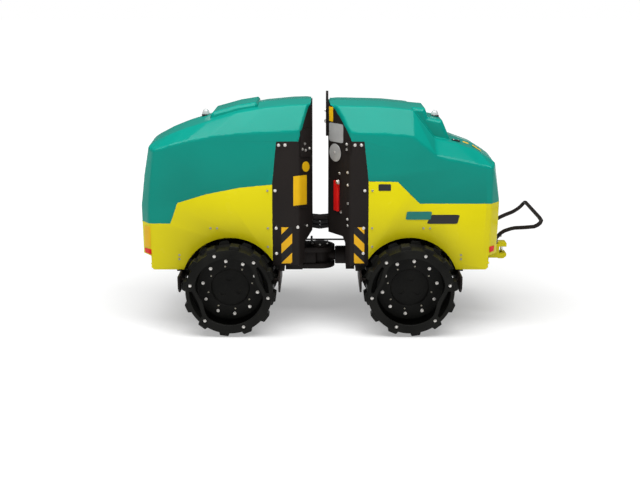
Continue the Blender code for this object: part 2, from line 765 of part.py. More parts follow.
def keel(half, start, bottom):
    """The box under the deck that carries the joint, open towards the drum."""
    wide = KEEL_HALF_WIDTH - KEEL_WALL
    outer = bounded(half, start, KEEL_END, -KEEL_HALF_WIDTH, KEEL_HALF_WIDTH, bottom, DECK_BOTTOM + DECK_LAP)
    return cut(outer, bounded(half, start + KEEL_WALL, KEEL_END + 0.1, -wide, wide, bottom + KEEL_WALL, DECK_BOTTOM))


def yoke_plate(z0, z1):
    """A plate from the front keel with a round end about the steering pin."""
    back = -(KEEL_FRONT + KEEL_WALL / 2)
    arc = [(YOKE_HALF_WIDTH * math.cos(a), YOKE_HALF_WIDTH * math.sin(a)) for a in arc_angles(-90, 90, 13)]
    return plan_prism([(back, -YOKE_HALF_WIDTH)] + arc + [(back, YOKE_HALF_WIDTH)], z0, z1)


def front_frame(half):
    frame = deck_plate(half)
    low = JOINT_HEIGHT - YOKE_OPENING / 2 - YOKE_PLATE
    high = JOINT_HEIGHT + YOKE_OPENING / 2
    cap_foot = high + YOKE_PLATE - 0.004
    union(frame, keel(half, KEEL_FRONT, low), yoke_plate(low, low + YOKE_PLATE), yoke_plate(high, high + YOKE_PLATE))
    cap = rod(2, (0, 0, 0), CAP_RADIUS, cap_foot, cap_foot + 0.004 + CAP_HEIGHT, 24, CAP_TOP_RADIUS)
    pin = rod(2, (0, 0, 0), PIN_RADIUS, low + 0.004, high + YOKE_PLATE, 24)
    boss = rod(2, ROD_EYE, EYE_BOSS_RADIUS, DECK_BOTTOM + DECK_LAP, DECK_TOP + EYE_BOSS_HEIGHT, 20)
    return union(frame, cap, pin, boss)


def joint_knuckle():
    """The block on the steering pin, with the shaft that the rear half rolls on."""
    half_height = YOKE_OPENING / 2 - KNUCKLE_CLEARANCE
    low, high = JOINT_HEIGHT - half_height, JOINT_HEIGHT + half_height
    block = rod(2, (0, 0, 0), KNUCKLE_RADIUS, low, high, 32)
    shaft = rod(0, (0, 0, JOINT_HEIGHT), SHAFT_RADIUS, KNUCKLE_RADIUS / 2, KEEL_REAR + 1.5 * KEEL_WALL, 24)
    return cut(union(block, shaft), rod(2, (0, 0, 0), PIN_RADIUS + GAP, low - 0.01, high + 0.01, 24))


def rear_frame(half):
    frame = deck_plate(half)
    axis = (0, 0, JOINT_HEIGHT)
    union(frame, keel(half, KEEL_REAR, JOINT_HEIGHT - HOUSING_RADIUS - HOUSING_FOOT))
    union(frame, rod(0, axis, HOUSING_RADIUS, YOKE_HALF_WIDTH + YOKE_CLEARANCE, KEEL_REAR + KEEL_WALL / 2, 24))
    boss_top = BARREL_PIN.z - BARREL_EYE_HALF - GAP
    union(frame, rod(2, BARREL_PIN, PIN_BOSS_RADIUS, DECK_BOTTOM + DECK_LAP, boss_top, 20))
    union(frame, rod(2, BARREL_PIN, BARREL_PIN_RADIUS, DECK_BOTTOM + DECK_LAP, BARREL_PIN.z + 0.020, 20))
    wide = END_PLATE_HALF_WIDTH
    union(frame, bounded(half, *END_PLATE_REACH, -wide, wide, END_PLATE_BOTTOM, DECK_BOTTOM + DECK_LAP))
    return cut(frame, rod(0, axis, SHAFT_RADIUS + GAP, 0.0, KEEL_END + 0.06, 24))


def drum_carrier(half):
    """The gearbox housing between the half drums, its stubs, its neck and its flange under the deck."""
    x = half["sign"] * AXLE_REACH
    axis = (x, 0, AXLE_HEIGHT)
    wide = DRUM_INNER_Y - CARRIER_CLEARANCE
    housing = rod(1, axis, CARRIER_RADIUS, -wide, wide, 36)
    union(housing, box(x - 0.10, x + 0.10, 0.004 - wide, wide - 0.004, AXLE_HEIGHT, DECK_BOTTOM - 0.010))
    union(housing, box(x - 0.14, x + 0.14, -0.12, 0.12, DECK_BOTTOM - 0.018, DECK_BOTTOM - GAP))
    reach = HUB_BACK_Y - GAP
    return union(housing, rod(1, axis, STUB_RADIUS, -reach, reach, 24))


def scraper(half, outward):
    """A beam between the side panels, a blade along the drum and teeth that reach in between its pads."""
    x = half["sign"] * AXLE_REACH
    way = half["sign"] * outward
    face = PAD_FLAT_RADIUS + SCRAPER_CLEARANCE

    def ends(near, far):
        return sorted((x + way * near, x + way * far))

    low, high = AXLE_HEIGHT - 0.010, PANEL_BOTTOM - 0.006
    wide = DRUM_HALF_WIDTH - 0.005
    middle = DRUM_INNER_Y - 0.005
    edge = [
        (low + SCRAPER_CUT, middle),
        (low, middle + SCRAPER_CUT / 2),
        (low, wide - SCRAPER_CUT),
        (low + SCRAPER_CUT, wide),
        (high, wide),
    ]
    item = end_prism(mirrored(edge), *ends(face, face + SCRAPER_BLADE))
    beam = BODY_HALF_WIDTH - SKIN - GAP
    union(item, box(*ends(face, face + SCRAPER_BAR), -beam, beam, PANEL_BOTTOM - 0.012, PANEL_BOTTOM + 0.032))
    tip = math.sqrt((SHELL_RADIUS + TURNING_CLEARANCE) ** 2 - TOOTH_RISE**2)
    tooth_z = (AXLE_HEIGHT + TOOTH_RISE, AXLE_HEIGHT + TOOTH_RISE + TOOTH_PLATE)
    for gap_start, gap_end in ((ROW_C_END, ROW_B_START), (ROW_B_END, DRUM_SPLIT_Y)):
        for s in SIDES.values():
            sides = sorted((s * (gap_start + TURNING_CLEARANCE), s * (gap_end - TURNING_CLEARANCE)))
            union(item, box(*ends(tip, face + SCRAPER_BLADE / 2), *sides, *tooth_z))
    return item


# Fittings
def hitch():
    """The towing jaw, two lugs on a neck behind the end plate."""
    start = END_PLATE_REACH[1]
    pieces = [side_prism([(start + x, z) for x, z in outline], -wide, wide) for outline, wide in JAW]
    return union(*pieces)


def softened(route, distance):
    """A route whose bends each become two points, at a distance from the bend."""
    points = [route[0]]
    for before, bend, after in zip(route, route[1:], route[2:]):
        points += [bend + (other - bend).normalized() * distance for other in (before, after)]
    return points + [route[-1]]


def handle_bow():
    """The bent tube behind the rear half, with the two plates it is welded to."""
    thick, plate_half, bottom, top = BOW_PLATE
    face = table_value(REAR_PLAN, 1, top) + GAP
    route = [Vector(p) for p in BOW_ROUTE] + [Vector((x, -y, z)) for x, y, z in reversed(BOW_ROUTE)]
    points = softened(route, BOW_BEND)
    curve = bpy.data.curves.new("bow", "CURVE")
    curve.dimensions = "3D"
    curve.bevel_depth = BOW_TUBE_RADIUS
    curve.bevel_resolution = 2
    curve.use_fill_caps = True
    spline = curve.splines.new("POLY")
    spline.points.add(len(points) - 1)
    for point, place in zip(spline.points, points):
        point.co = (*place, 1.0)
    item = bpy.data.objects.new("bow", curve)
    bpy.context.collection.objects.link(item)
    bpy.context.view_layer.update()
    mesh = bpy.data.meshes.new_from_object(item.evaluated_get(bpy.context.evaluated_depsgraph_get()))
    bpy.data.objects.remove(item)
    bm = bmesh.new()
    bm.from_mesh(mesh)
    tube = solid(bm)
    for s in SIDES.values():
        y = s * BOW_ROUTE[0][1]
        union(tube, box(face, face + thick, y - plate_half, y + plate_half, bottom, top))
    return tube


def lifting_plate():
    """An upright plate bolted to the rear bulkhead, with an eye above the hoods."""
    thick, wide, bottom, top = LIFTING_PLATE
    face = HALVES["rear"]["inner_reach"] - GAP
    corner = 0.4 * wide
    outline = mirrored([(bottom, wide), (top - 1.4 * corner, wide), (top, wide - corner)])
    return cut(
        end_prism(outline, face - thick, face),
        rod(0, (0, 0, top - LIFTING_EYE_DROP), LIFTING_EYE_RADIUS, -0.1, 0.1, 20),
    )


def lock_bar():
    """The red transport lock, stowed upright on the rear left chamfer."""
    half = HALVES["rear"]
    wide, thick, bottom, top = LOCK_BAR
    start = Vector((half["inner_reach"], -END_FACE_HALF_WIDTH, 0))
    end = Vector((half["chamfer_reach"], -BODY_HALF_WIDTH, 0))
    along = (end - start).normalized()
    outward = Vector((along.y, -along.x, 0))
    centre = start + along * LOCK_BAR_PLACE
    corners = [centre + along * u + outward * v for u, v in ((-wide, GAP), (wide, GAP), (wide, thick), (-wide, thick))]
    return plan_prism([(corner.x, corner.y) for corner in corners], bottom, top)


def hood_lamp(half):
    """A domed lamp whose foot follows the hood under it."""
    x = half["sign"] * half["lamp_reach"]
    z = hood_height(half, half["lamp_reach"])
    foot_radius = LAMP_RADIUS + 0.003
    skirt = LAMP_FOOT + 0.35 * (LAMP_HEIGHT - LAMP_FOOT)
    rise = LAMP_HEIGHT - skirt
    profile = [(z - 0.012, 0.0), (z - 0.012, foot_radius), (z + LAMP_FOOT, foot_radius), (z + LAMP_FOOT, LAMP_RADIUS)]
    profile.append((z + skirt, LAMP_RADIUS))
    for angle in arc_angles(22.5, 67.5, 3):
        profile.append((z + skirt + rise * math.sin(angle), LAMP_RADIUS * math.cos(angle)))
    profile.append((z + LAMP_HEIGHT, 0.0))
    return cut(turned_solid(profile, (x, 0, 0), 2, 20), body_block(half, -GAP, 0.3))


def steering_barrel():
    x, _, z = BARREL_PIN
    barrel = rod(0, BARREL_PIN, BARREL_RADIUS, BARREL_START, x - BARREL_END, 24)
    union(barrel, rod(2, BARREL_PIN, BARREL_EYE_RADIUS, z - BARREL_EYE_HALF, z + BARREL_EYE_HALF, 24))
    cut(barrel, rod(0, BARREL_PIN, ROD_RADIUS + GAP, BARREL_START - 0.1, x - BARREL_END - 0.016, 20))
    return cut(barrel, rod(2, BARREL_PIN, BARREL_PIN_RADIUS + GAP, z - 0.1, z + 0.1, 20))


def steering_rod():
    x, _, z = ROD_EYE
    bar = rod(0, ROD_EYE, ROD_RADIUS, x + 0.010, BARREL_PIN.x - ROD_DEPTH, 20)
    return union(bar, rod(2, ROD_EYE, ROD_EYE_RADIUS, z - ROD_EYE_HALF, z + ROD_EYE_HALF, 24))


def build():
    clear_scene()
    teal = material("teal_paint", TEAL)
    yellow = material("yellow_paint", YELLOW)
    black = material("black_paint", BLACK)
    drum_black = material("drum_paint", DRUM_BLACK)
    steel = material("bright_steel", STEEL)
    red = material("red_paint", RED)
    lens = material("lamp_lens", LAMP)
    casting = material("engine_casting", CASTING)

    front = carrier("front_body", 0, 0, 0)
    knuckle = carrier("knuckle_body", 0, 0, JOINT_HEIGHT, front)
    rear = carrier("rear_body", 0, 0, JOINT_HEIGHT, knuckle)
    bodies = {"front": front, "knuckle": knuckle, "rear": rear}
    for name, half in HALVES.items():
        s = half["sign"]
        bodies[f"{name}_drum"] = carrier(f"{name}_drum_body", s * AXLE_REACH, 0, AXLE_HEIGHT, bodies[name])
        bodies[f"{name}_hood"] = carrier(f"{name}_hood_body", s * HINGE_REACH, 0, hinge_height(half), bodies[name])
    bodies["barrel"] = carrier("barrel_body", *BARREL_PIN, rear)
    bodies["rod"] = carrier("rod_body", *ROD_EYE, bodies["barrel"])

    def piece(name, item, look, body):
        """Names a finished solid and hands it to its body, with its origin on the body's joint."""
        place = world_place(bodies[body])
        item.data.transform(Matrix.Translation(Vector((PIVOT_X, 0, 0)) - place))
        item.parent = bodies[body]
        item.name = name
        item.data.name = name
        item.data.materials.clear()
        item.data.materials.append(look)
        item.data.shade_smooth()
        item.data.set_sharp_from_angle(angle=math.radians(30))

    for name, half in HALVES.items():
        for panel, item in body_panels(name, half).items():
            if panel.endswith("hood"):
                piece(panel, item, teal, f"{name}_hood")
            else:
                piece(panel, item, yellow if panel.startswith((f"{name}_side", f"{name}_end")) else black, name)
        for side_name in SIDES:
            for part, item in half_drum(name, half, side_name).items():
                piece(part, item, drum_black, f"{name}_drum")
        piece(f"{name}_drum_carrier", drum_carrier(half), black, name)
        piece(f"{name}_scraper_outer", scraper(half, 1), black, name)
        piece(f"{name}_scraper_inner", scraper(half, -1), black, name)
        piece(f"{name}_lamp", hood_lamp(half), lens, f"{name}_hood")
    for name, (body, near, far, wide, top) in MASSES.items():
        piece(name, bounded(HALVES[body], near, far, -wide, wide, DECK_TOP + GAP, top), casting, body)
    piece("front_frame", front_frame(HALVES["front"]), black, "front")
    piece("rear_frame", rear_frame(HALVES["rear"]), black, "rear")
    piece("joint_knuckle", joint_knuckle(), black, "knuckle")
    piece("tow_hitch", hitch(), yellow, "rear")
    piece("handle_bow", handle_bow(), black, "rear")
    piece("lifting_plate", lifting_plate(), black, "rear")
    piece("lock_bar", lock_bar(), red, "rear")
    piece("steering_cylinder", steering_barrel(), black, "barrel")
    piece("steering_rod", steering_rod(), steel, "rod")


build()
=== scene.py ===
# %% [markdown]
# # Dressing a trench roller
# A trench roller packs the soil at the bottom of a trench. Two hooded halves stand on padfoot drums
# and are joined by a steering pin. The CAD model gives every size and joint. This script puts
# the finish on it: rounded sheet metal, finer drums, bolts, hoses, signs and paint.

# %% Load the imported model
import json
import math

import bmesh
import bpy
from mathutils import Matrix, Vector
from mathutils.bvhtree import BVHTree


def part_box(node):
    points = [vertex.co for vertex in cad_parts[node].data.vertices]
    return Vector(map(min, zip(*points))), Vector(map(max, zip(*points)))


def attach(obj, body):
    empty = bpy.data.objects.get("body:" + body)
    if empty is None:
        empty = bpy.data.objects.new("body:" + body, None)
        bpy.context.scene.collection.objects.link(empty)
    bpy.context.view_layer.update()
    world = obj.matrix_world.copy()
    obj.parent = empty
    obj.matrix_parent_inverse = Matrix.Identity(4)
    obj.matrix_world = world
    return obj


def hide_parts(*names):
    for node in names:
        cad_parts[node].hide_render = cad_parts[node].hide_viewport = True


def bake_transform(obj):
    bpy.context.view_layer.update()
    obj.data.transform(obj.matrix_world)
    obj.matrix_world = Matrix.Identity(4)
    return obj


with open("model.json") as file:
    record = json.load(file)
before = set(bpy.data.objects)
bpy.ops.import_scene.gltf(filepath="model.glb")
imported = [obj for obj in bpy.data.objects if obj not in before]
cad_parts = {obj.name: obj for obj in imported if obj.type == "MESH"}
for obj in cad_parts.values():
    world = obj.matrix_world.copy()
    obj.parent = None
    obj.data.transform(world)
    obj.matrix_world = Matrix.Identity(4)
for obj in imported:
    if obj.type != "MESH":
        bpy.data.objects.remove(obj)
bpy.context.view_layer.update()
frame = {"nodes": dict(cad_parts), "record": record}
nodes = frame["nodes"]

# %% [markdown]
# ## Camera
# The photograph was taken from the machine's left side and a little above it. The lens and
# the tilt come from lines in it whose real lengths are known, such as the wheelbase.

# %% Set the camera
PIN_X = -0.125  # the steering pin, halfway between the drums
camera_data = bpy.data.cameras.new("side_camera")
camera_data.sensor_width = 36.0
camera_data.lens = 55.43
camera = bpy.data.objects.new("side_camera", camera_data)
camera.location = (PIN_X, -5.5225, 1.9196)
camera.rotation_euler = (math.radians(90 - 14.98), 0.0, 0.0)
bpy.context.scene.collection.objects.link(camera)
bpy.context.scene.camera = camera
print("camera lens:", camera_data.lens, "mm")

# %% [markdown]
# ## Small helpers
# Blender's operators act on what is selected, so each step first selects one piece, and then
# the faces or edges that it needs, by their place or by the way they face.


# %% Helpers for selecting and editing
def select_only(piece):
    bpy.ops.object.select_all(action="DESELECT")
    piece.select_set(True)
    bpy.context.view_layer.objects.active = piece


def edit(piece):
    select_only(piece)
    bpy.ops.object.mode_set(mode="EDIT")
    bpy.ops.mesh.select_mode(type="FACE")
    bpy.ops.mesh.select_all(action="SELECT")


def leave_edit():
    bpy.ops.object.mode_set(mode="OBJECT")


def pick_faces(piece, wanted):
    """Selects, in edit mode, the faces whose place and normal are wanted."""
    mesh = bmesh.from_edit_mesh(piece.data)
    largest = {}
    for corners in mesh.calc_loop_triangles():
        a, b, c = (loop.vert.co for loop in corners)
        area = (b - a).cross(c - a).length
        face = corners[0].face
        if area > largest.get(face, (0.0,))[0]:
            largest[face] = (area, (a + b + c) / 3)
    for face in mesh.faces:
        face.select_set(False)
    for face, (_, place) in largest.items():
        if wanted(place, face.normal):
            face.select_set(True)
    bmesh.update_edit_mesh(piece.data)


def apply_place(piece):
    select_only(piece)
    bpy.ops.object.transform_apply(location=True, rotation=True, scale=True)


def smooth(piece, angle=35):
    select_only(piece)
    bpy.ops.object.shade_smooth_by_angle(angle=math.radians(angle))


def recalculate(piece):
    edit(piece)
    bpy.ops.mesh.remove_doubles(threshold=0.00001)
    bpy.ops.mesh.select_all(action="SELECT")
    bpy.ops.mesh.normals_make_consistent(inside=False)
    leave_edit()


def apply_modifier(piece, kind, **settings):
    select_only(piece)
    modifier = piece.modifiers.new(kind.lower(), kind)
    for key, value in settings.items():
        setattr(modifier, key, value)
    bpy.ops.object.modifier_apply(modifier=modifier.name)


def bevel(piece, width, segments=2, angle=30):
    apply_modifier(
        piece,
        "BEVEL",
        width=width,
        segments=segments,
        limit_method="ANGLE",
        angle_limit=math.radians(angle),
    )


def join(name, pieces):
    """Makes one piece of several."""
    bpy.ops.object.select_all(action="DESELECT")
    for piece in pieces:
        piece.select_set(True)
    bpy.context.view_layer.objects.active = pieces[0]
    if len(pieces) > 1:
        bpy.ops.object.join()
    pieces[0].name = name
    return pieces[0]


def copy_of(piece, name, matrix=None):
    """A copy with its own mesh, moved or mirrored by a matrix."""
    copy = bpy.data.objects.new(name, piece.data.copy())
    bpy.context.scene.collection.objects.link(copy)
    if matrix is not None:
        copy.data.transform(matrix)
        if matrix.determinant() < 0:
            copy.data.flip_normals()
    return copy


def wear(piece, material, body, slot, *replaced):
    """Gives a finished piece its material and the body that it rides on. Its slot is not used."""
    piece.data.materials.clear()
    piece.data.materials.append(material)
    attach(piece, body)
    if replaced:
        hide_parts(*replaced)
    return piece


# %% [markdown]
# ## Ways to start a piece
# A flat plate is its outline, drawn as one face and extruded. A round part is half of its section,
# spun about its axis as on a lathe, which keeps every edge where the section has it. A bore starts
# as a cylinder and is cut out with a Boolean.


# %% Plates, round parts, cylinders and cuts
def new_piece(name, points, edges=(), faces=()):
    """A piece from points, and the edges or faces between them."""
    mesh = bpy.data.meshes.new(name)
    mesh.from_pydata(points, edges, faces)
    piece = bpy.data.objects.new(name, mesh)
    bpy.context.scene.collection.objects.link(piece)
    return piece


def extruded(name, points, move):
    """A closed plate: one face through the points, extruded by a move."""
    piece = new_piece(name, points, faces=[list(range(len(points)))])
    edit(piece)
    bpy.ops.mesh.extrude_region_move(TRANSFORM_OT_translate={"value": move})
    leave_edit()
    recalculate(piece)
    return piece


def plate(name, outline, low, high, axis=1):
    """A flat plate between two places along an axis, by its outline on the other two axes."""
    first, second = [i for i in range(3) if i != axis]
    points = []
    for a, b in outline:
        point = [0.0, 0.0, 0.0]
        point[first], point[second], point[axis] = a, b, low
        points.append(point)
    return extruded(name, points, [(high - low) * (i == axis) for i in range(3)])


def spun(name, profile, centre, steps=96, axis=1):
    """Half a section, drawn as a line of (place along the axis, radius) points and spun round."""
    other = [i for i in range(3) if i != axis][0]
    points = []
    for place, radius in profile:
        point = list(centre)
        point[axis] = place
        point[other] += radius
        points.append(point)
    edges = [(i, i + 1) for i in range(len(points) - 1)]
    if all(radius for _, radius in profile):
        edges.append((len(points) - 1, 0))
    piece = new_piece(name, points, edges)
    select_only(piece)
    bpy.ops.object.mode_set(mode="EDIT")
    bpy.ops.mesh.select_mode(type="VERT")
    bpy.ops.mesh.select_all(action="SELECT")
    turn = [float(i == axis) for i in range(3)]
    bpy.ops.mesh.spin(steps=steps, angle=2 * math.pi, center=centre, axis=turn)
    leave_edit()
    recalculate(piece)
    return piece


def turned_part(name, profile, centre, steps, axis, *worn):
    """A spun piece, smoothed, with its material, body and any node that it replaces; the slot is not
    used.
    """
    piece = spun(name, profile, centre, steps, axis)
    smooth(piece)
    return wear(piece, *worn)


def cylinder(radius, depth, place, sides, lying=False):
    """A cylinder about a place, standing up or lying along Y."""
    bpy.ops.object.select_all(action="DESELECT")
    tilt = math.pi / 2 if lying else 0.0
    bpy.ops.mesh.primitive_cylinder_add(
        vertices=sides, radius=radius, depth=depth, location=place, rotation=(tilt, 0.0, 0.0)
    )
    piece = bpy.context.active_object
    apply_place(piece)
    return piece


def combine(piece, operation, tool):
    """Adds a tool's shape to a piece or cuts it out, and takes the tool away."""
    apply_modifier(piece, "BOOLEAN", operation=operation, object=tool, solver="EXACT")
    bpy.data.objects.remove(tool)


# %% [markdown]
# ## Paints and other finishes
# Every material is a small node tree on object coordinates, so that the pattern stays on its
# piece. A broad noise gives a faint drift of colour and gloss, and a fine one a little relief, such
# as the orange peel of paint. A picture of paint would need an unwrapped mesh and show its repeats.


# %% A builder for procedural finishes
def add_node(tree, kind, **values):
    """A shader node with some inputs set, each by its name with _ for a space."""
    node = tree.nodes.new(f"ShaderNode{kind}")
    for key, value in values.items():
        node.inputs[key.replace("_", " ")].default_value = value
    return node


def finish(
    name,
    color,
    roughness,
    metallic=0.0,
    coat=0.0,
    drift=0.10,
    drift_scale=3.0,
    bump=0.02,
    bump_scale=300.0,
    rough_spread=0.06,
    stretch=(1.0, 1.0, 1.0),
    specular=0.5,
):
    """Principled shader whose colour, roughness and bump come from noise on object coordinates."""
    material = bpy.data.materials.new(name)
    material.use_nodes = True
    tree = material.node_tree
    shader = tree.nodes["Principled BSDF"]
    shader.inputs["Metallic"].default_value = metallic
    shader.inputs["Specular IOR Level"].default_value = specular
    shader.inputs["Coat Weight"].default_value = coat
    shader.inputs["Coat Roughness"].default_value = 0.08
    place = add_node(tree, "TexCoord")
    mapping = add_node(tree, "Mapping", Scale=stretch)
    broad = add_node(tree, "TexNoise", Scale=drift_scale, Detail=4.0)
    fine = add_node(tree, "TexNoise", Scale=bump_scale, Detail=3.0)
    tint = add_node(tree, "ValToRGB")
    dark = [max(0.0, channel * (1 - drift)) for channel in color]
    light = [min(1.0, channel * (1 + drift)) for channel in color]
    tint.color_ramp.elements[0].position = 0.3
    tint.color_ramp.elements[0].color = (*dark, 1.0)
    tint.color_ramp.elements[1].position = 0.7
    tint.color_ramp.elements[1].color = (*light, 1.0)
    gloss = add_node(tree, "MapRange")
    gloss.inputs["To Min"].default_value = max(0.02, roughness - rough_spread)
    gloss.inputs["To Max"].default_value = min(1.0, roughness + rough_spread)
    relief = add_node(tree, "Bump", Strength=bump, Distance=0.001)
    for source, target in (
        (place.outputs["Object"], mapping.inputs["Vector"]),
        (mapping.outputs["Vector"], broad.inputs["Vector"]),
        (mapping.outputs["Vector"], fine.inputs["Vector"]),
        (broad.outputs["Fac"], tint.inputs["Fac"]),
        (tint.outputs["Color"], shader.inputs["Base Color"]),
        (broad.outputs["Fac"], gloss.inputs["Value"]),
        (gloss.outputs["Result"], shader.inputs["Roughness"]),
        (fine.outputs["Fac"], relief.inputs["Height"]),
        (relief.outputs["Normal"], shader.inputs["Normal"]),
    ):
        tree.links.new(source, target)
    return material


# %% Paints, metals, rubber and the plates' colours
teal_paint = finish("teal_paint", (0.002, 0.235, 0.182), 0.22, drift=0.05, bump=0.03, specular=0.10)
yellow_paint = finish("yellow_paint", (0.640, 0.560, 0.006), 0.26, drift=0.04, bump=0.03, specular=0.12)
black_coat = finish(
    "black_coat", (0.015, 0.012, 0.011), 0.48, drift=0.15, bump=0.25, bump_scale=900.0, specular=0.10
)
drum_paint = finish(
    "drum_paint", (0.009, 0.009, 0.008), 0.42, drift=0.35, drift_scale=9.0, bump=0.35,
    bump_scale=240.0, rough_spread=0.12, specular=0.07,
)
zinc = finish(
    "zinc_plate", (0.62, 0.60, 0.57), 0.30, metallic=1.0, drift=0.15, drift_scale=60.0, bump=0.10
)
dull_zinc = finish(
    "dull_zinc", (0.34, 0.32, 0.26), 0.45, metallic=0.8, drift=0.15, drift_scale=60.0, bump=0.10
)
bright_steel = finish(
    "bright_steel", (0.60, 0.60, 0.61), 0.18, metallic=1.0, drift=0.05, bump=0.12,
    stretch=(0.05, 1.0, 1.0),
)
rubber = finish(
    "rubber", (0.012, 0.012, 0.012), 0.60, drift=0.2, drift_scale=30.0, bump=0.30,
    bump_scale=600.0, specular=0.3,
)
cast_iron = finish(
    "cast_iron", (0.040, 0.040, 0.042), 0.55, metallic=0.5, drift=0.3, drift_scale=20.0, bump=0.5,
    bump_scale=200.0,
)
red_paint = finish("red_paint", (0.62, 0.008, 0.008), 0.30, drift=0.06, bump=0.04, specular=0.3)
sign_yellow = finish(
    "sign_yellow", (0.74, 0.43, 0.008), 0.45, drift=0.04, drift_scale=20.0, specular=0.1
)
label_black = finish(
    "label_black", (0.012, 0.012, 0.013), 0.30, drift=0.05, drift_scale=20.0, specular=0.3
)
label_teal = finish(
    "label_teal", (0.004, 0.160, 0.135), 0.30, drift=0.05, drift_scale=20.0, specular=0.3
)
plate_grey = finish(
    "plate_grey", (0.46, 0.46, 0.45), 0.40, metallic=0.3, drift=0.08, drift_scale=20.0, bump=0.06
)
lens_white = finish(
    "lens_white", (0.46, 0.47, 0.47), 0.28, coat=0.3, drift=0.04, drift_scale=40.0, bump=0.01
)
reflector_red = finish(
    "reflector_red", (0.66, 0.006, 0.004), 0.30, drift=0.25, drift_scale=220.0, bump=0.3,
    bump_scale=400.0, specular=0.12,
)
print("finishes:", len(bpy.data.materials))

# %% [markdown]
# ## Floor and light
# A plain white floor runs far past the machine. A large soft light overhead gives the bright
# tops and the soft shadow under the drums, and the pale surroundings fill in the sides. Two area
# lights reach only so far, so the floor gets a glow that grows with the distance, and its edge
# doesn't show against the background.

# %% Floor, sky and soft lights
bpy.ops.object.select_all(action="DESELECT")
bpy.ops.mesh.primitive_plane_add(size=80.0, location=(0.0, 0.0, 0.0))
floor = bpy.context.active_object
floor.name = "studio_floor"
floor_white = finish("floor_white", (0.62, 0.62, 0.62), 0.40, drift=0.004, bump=0.0, specular=0.35)
floor_tree = floor_white.node_tree
floor_shader = floor_tree.nodes["Principled BSDF"]
floor_shader.inputs["Emission Color"].default_value = (1.0, 1.0, 1.0, 1.0)
floor_place = add_node(floor_tree, "TexCoord")
distance = add_node(floor_tree, "VectorMath")
distance.operation = "LENGTH"
floor_tree.links.new(floor_place.outputs["Object"], distance.inputs[0])
glow = add_node(floor_tree, "MapRange", From_Min=0.6, From_Max=4.2, To_Min=0.34, To_Max=0.95)
floor_tree.links.new(distance.outputs["Value"], glow.inputs["Value"])
floor_tree.links.new(glow.outputs["Result"], floor_shader.inputs["Emission Strength"])
floor.data.materials.append(floor_white)

scene = bpy.context.scene
scene.view_settings.view_transform = "Standard"
world = bpy.data.worlds.new("pale_studio")
world.use_nodes = True
sky = world.node_tree.nodes["Background"]
sky.inputs["Color"].default_value = (1.0, 1.0, 1.0, 1.0)
path = add_node(world.node_tree, "LightPath")
strength = add_node(world.node_tree, "MapRange")
strength.inputs["To Min"].default_value = 0.12  # what lights the machine
strength.inputs["To Max"].default_value = 1.0  # what shows behind it
world.node_tree.links.new(path.outputs["Is Camera Ray"], strength.inputs["Value"])
world.node_tree.links.new(strength.outputs["Result"], sky.inputs["Strength"])
scene.world = world


def soft_light(name, place, target, size, power):
    light = bpy.data.lights.new(name, "AREA")
    light.shape = "RECTANGLE"
    light.size, light.size_y = size
    light.energy = power
    lamp = bpy.data.objects.new(name, light)
    lamp.location = place
    lamp.rotation_euler = (Vector(target) - Vector(place)).to_track_quat("-Z", "Y").to_euler()
    scene.collection.objects.link(lamp)


soft_light("overhead_softbox", (-0.2, -1.1, 4.2), (0.0, 0.0, 0.6), (6.2, 2.4), 300)
soft_light("side_softbox", (-1.6, -5.2, 2.2), (0.0, 0.0, 0.6), (3.0, 1.6), 14)

# %% [markdown]
# ## Rounding the sheet metal
# The hoods, side panels and cheeks are pressed sheet, whose folds run softly from one panel into
# the next. The CAD has them sharp. So the outward sides of one half's panels are taken from the CAD
# as one thin sheet, cut into small cells, and smoothed together. Then each panel is cut out again
# and gets its wall back with Solidify. The edges of the sheet stay where they are.

# %% Take the outward side of the panels of one half
def surface_tree(mesh):
    """A mesh in the form in which rays can be shot at it."""
    return BVHTree.FromPolygons([v.co for v in mesh.vertices], [p.vertices for p in mesh.polygons])


# By panel: the finished sheet's name, its material and its slot
PANELS = {
    "hood": ("hood_cover", teal_paint, "teal_paint"),
    "side_panel_left": ("side_sheet_left", yellow_paint, "yellow_paint"),
    "side_panel_right": ("side_sheet_right", yellow_paint, "yellow_paint"),
    "end_panel": ("end_sheet", yellow_paint, "yellow_paint"),
    "cheek_left": ("cheek_sheet_left", black_coat, "black_paint"),
    "cheek_right": ("cheek_sheet_right", black_coat, "black_paint"),
}
WALL = 0.008
CELL, PASSES = ((0.007, 7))


def merged_copy(node, name):
    """A copy of a CAD node whose loose triangles are joined and made whole faces again."""
    piece = copy_of(nodes[node], name)
    edit(piece)
    bpy.ops.mesh.remove_doubles(threshold=0.00002)
    bpy.ops.mesh.customdata_custom_splitnormals_clear()
    bpy.ops.mesh.dissolve_limited(angle_limit=math.radians(0.5))
    leave_edit()
    return piece


def outward_side(half, panel, number, centre):
    """The faces of a CAD panel that look away from the half's middle, marked with a number."""
    piece = merged_copy(f"{half}_{panel}", f"{half}_{panel}_skin")
    tree = surface_tree(nodes[f"{half}_{panel}"].data)

    # Behind a rim a ray runs on inside the wall, and an inner face looks towards the middle.
    def is_inner_or_rim(place, normal):
        thin = tree.ray_cast(place - normal * 0.0002, -normal, WALL * 5)[0] is not None
        return not thin or normal.dot(place - centre) < 0

    edit(piece)
    pick_faces(piece, is_inner_or_rim)
    bpy.ops.mesh.delete(type="FACE")
    leave_edit()
    mark = piece.data.attributes.new("panel", "INT", "FACE")
    mark.data.foreach_set("value", [number] * len(piece.data.polygons))
    return piece


# %% [markdown]
# ## Cells for smoothing
# The CAD's faces are large, and smoothing moves only points. So the sheet is first cut along evenly
# spaced planes. Subdividing would keep its long thin faces long and thin.


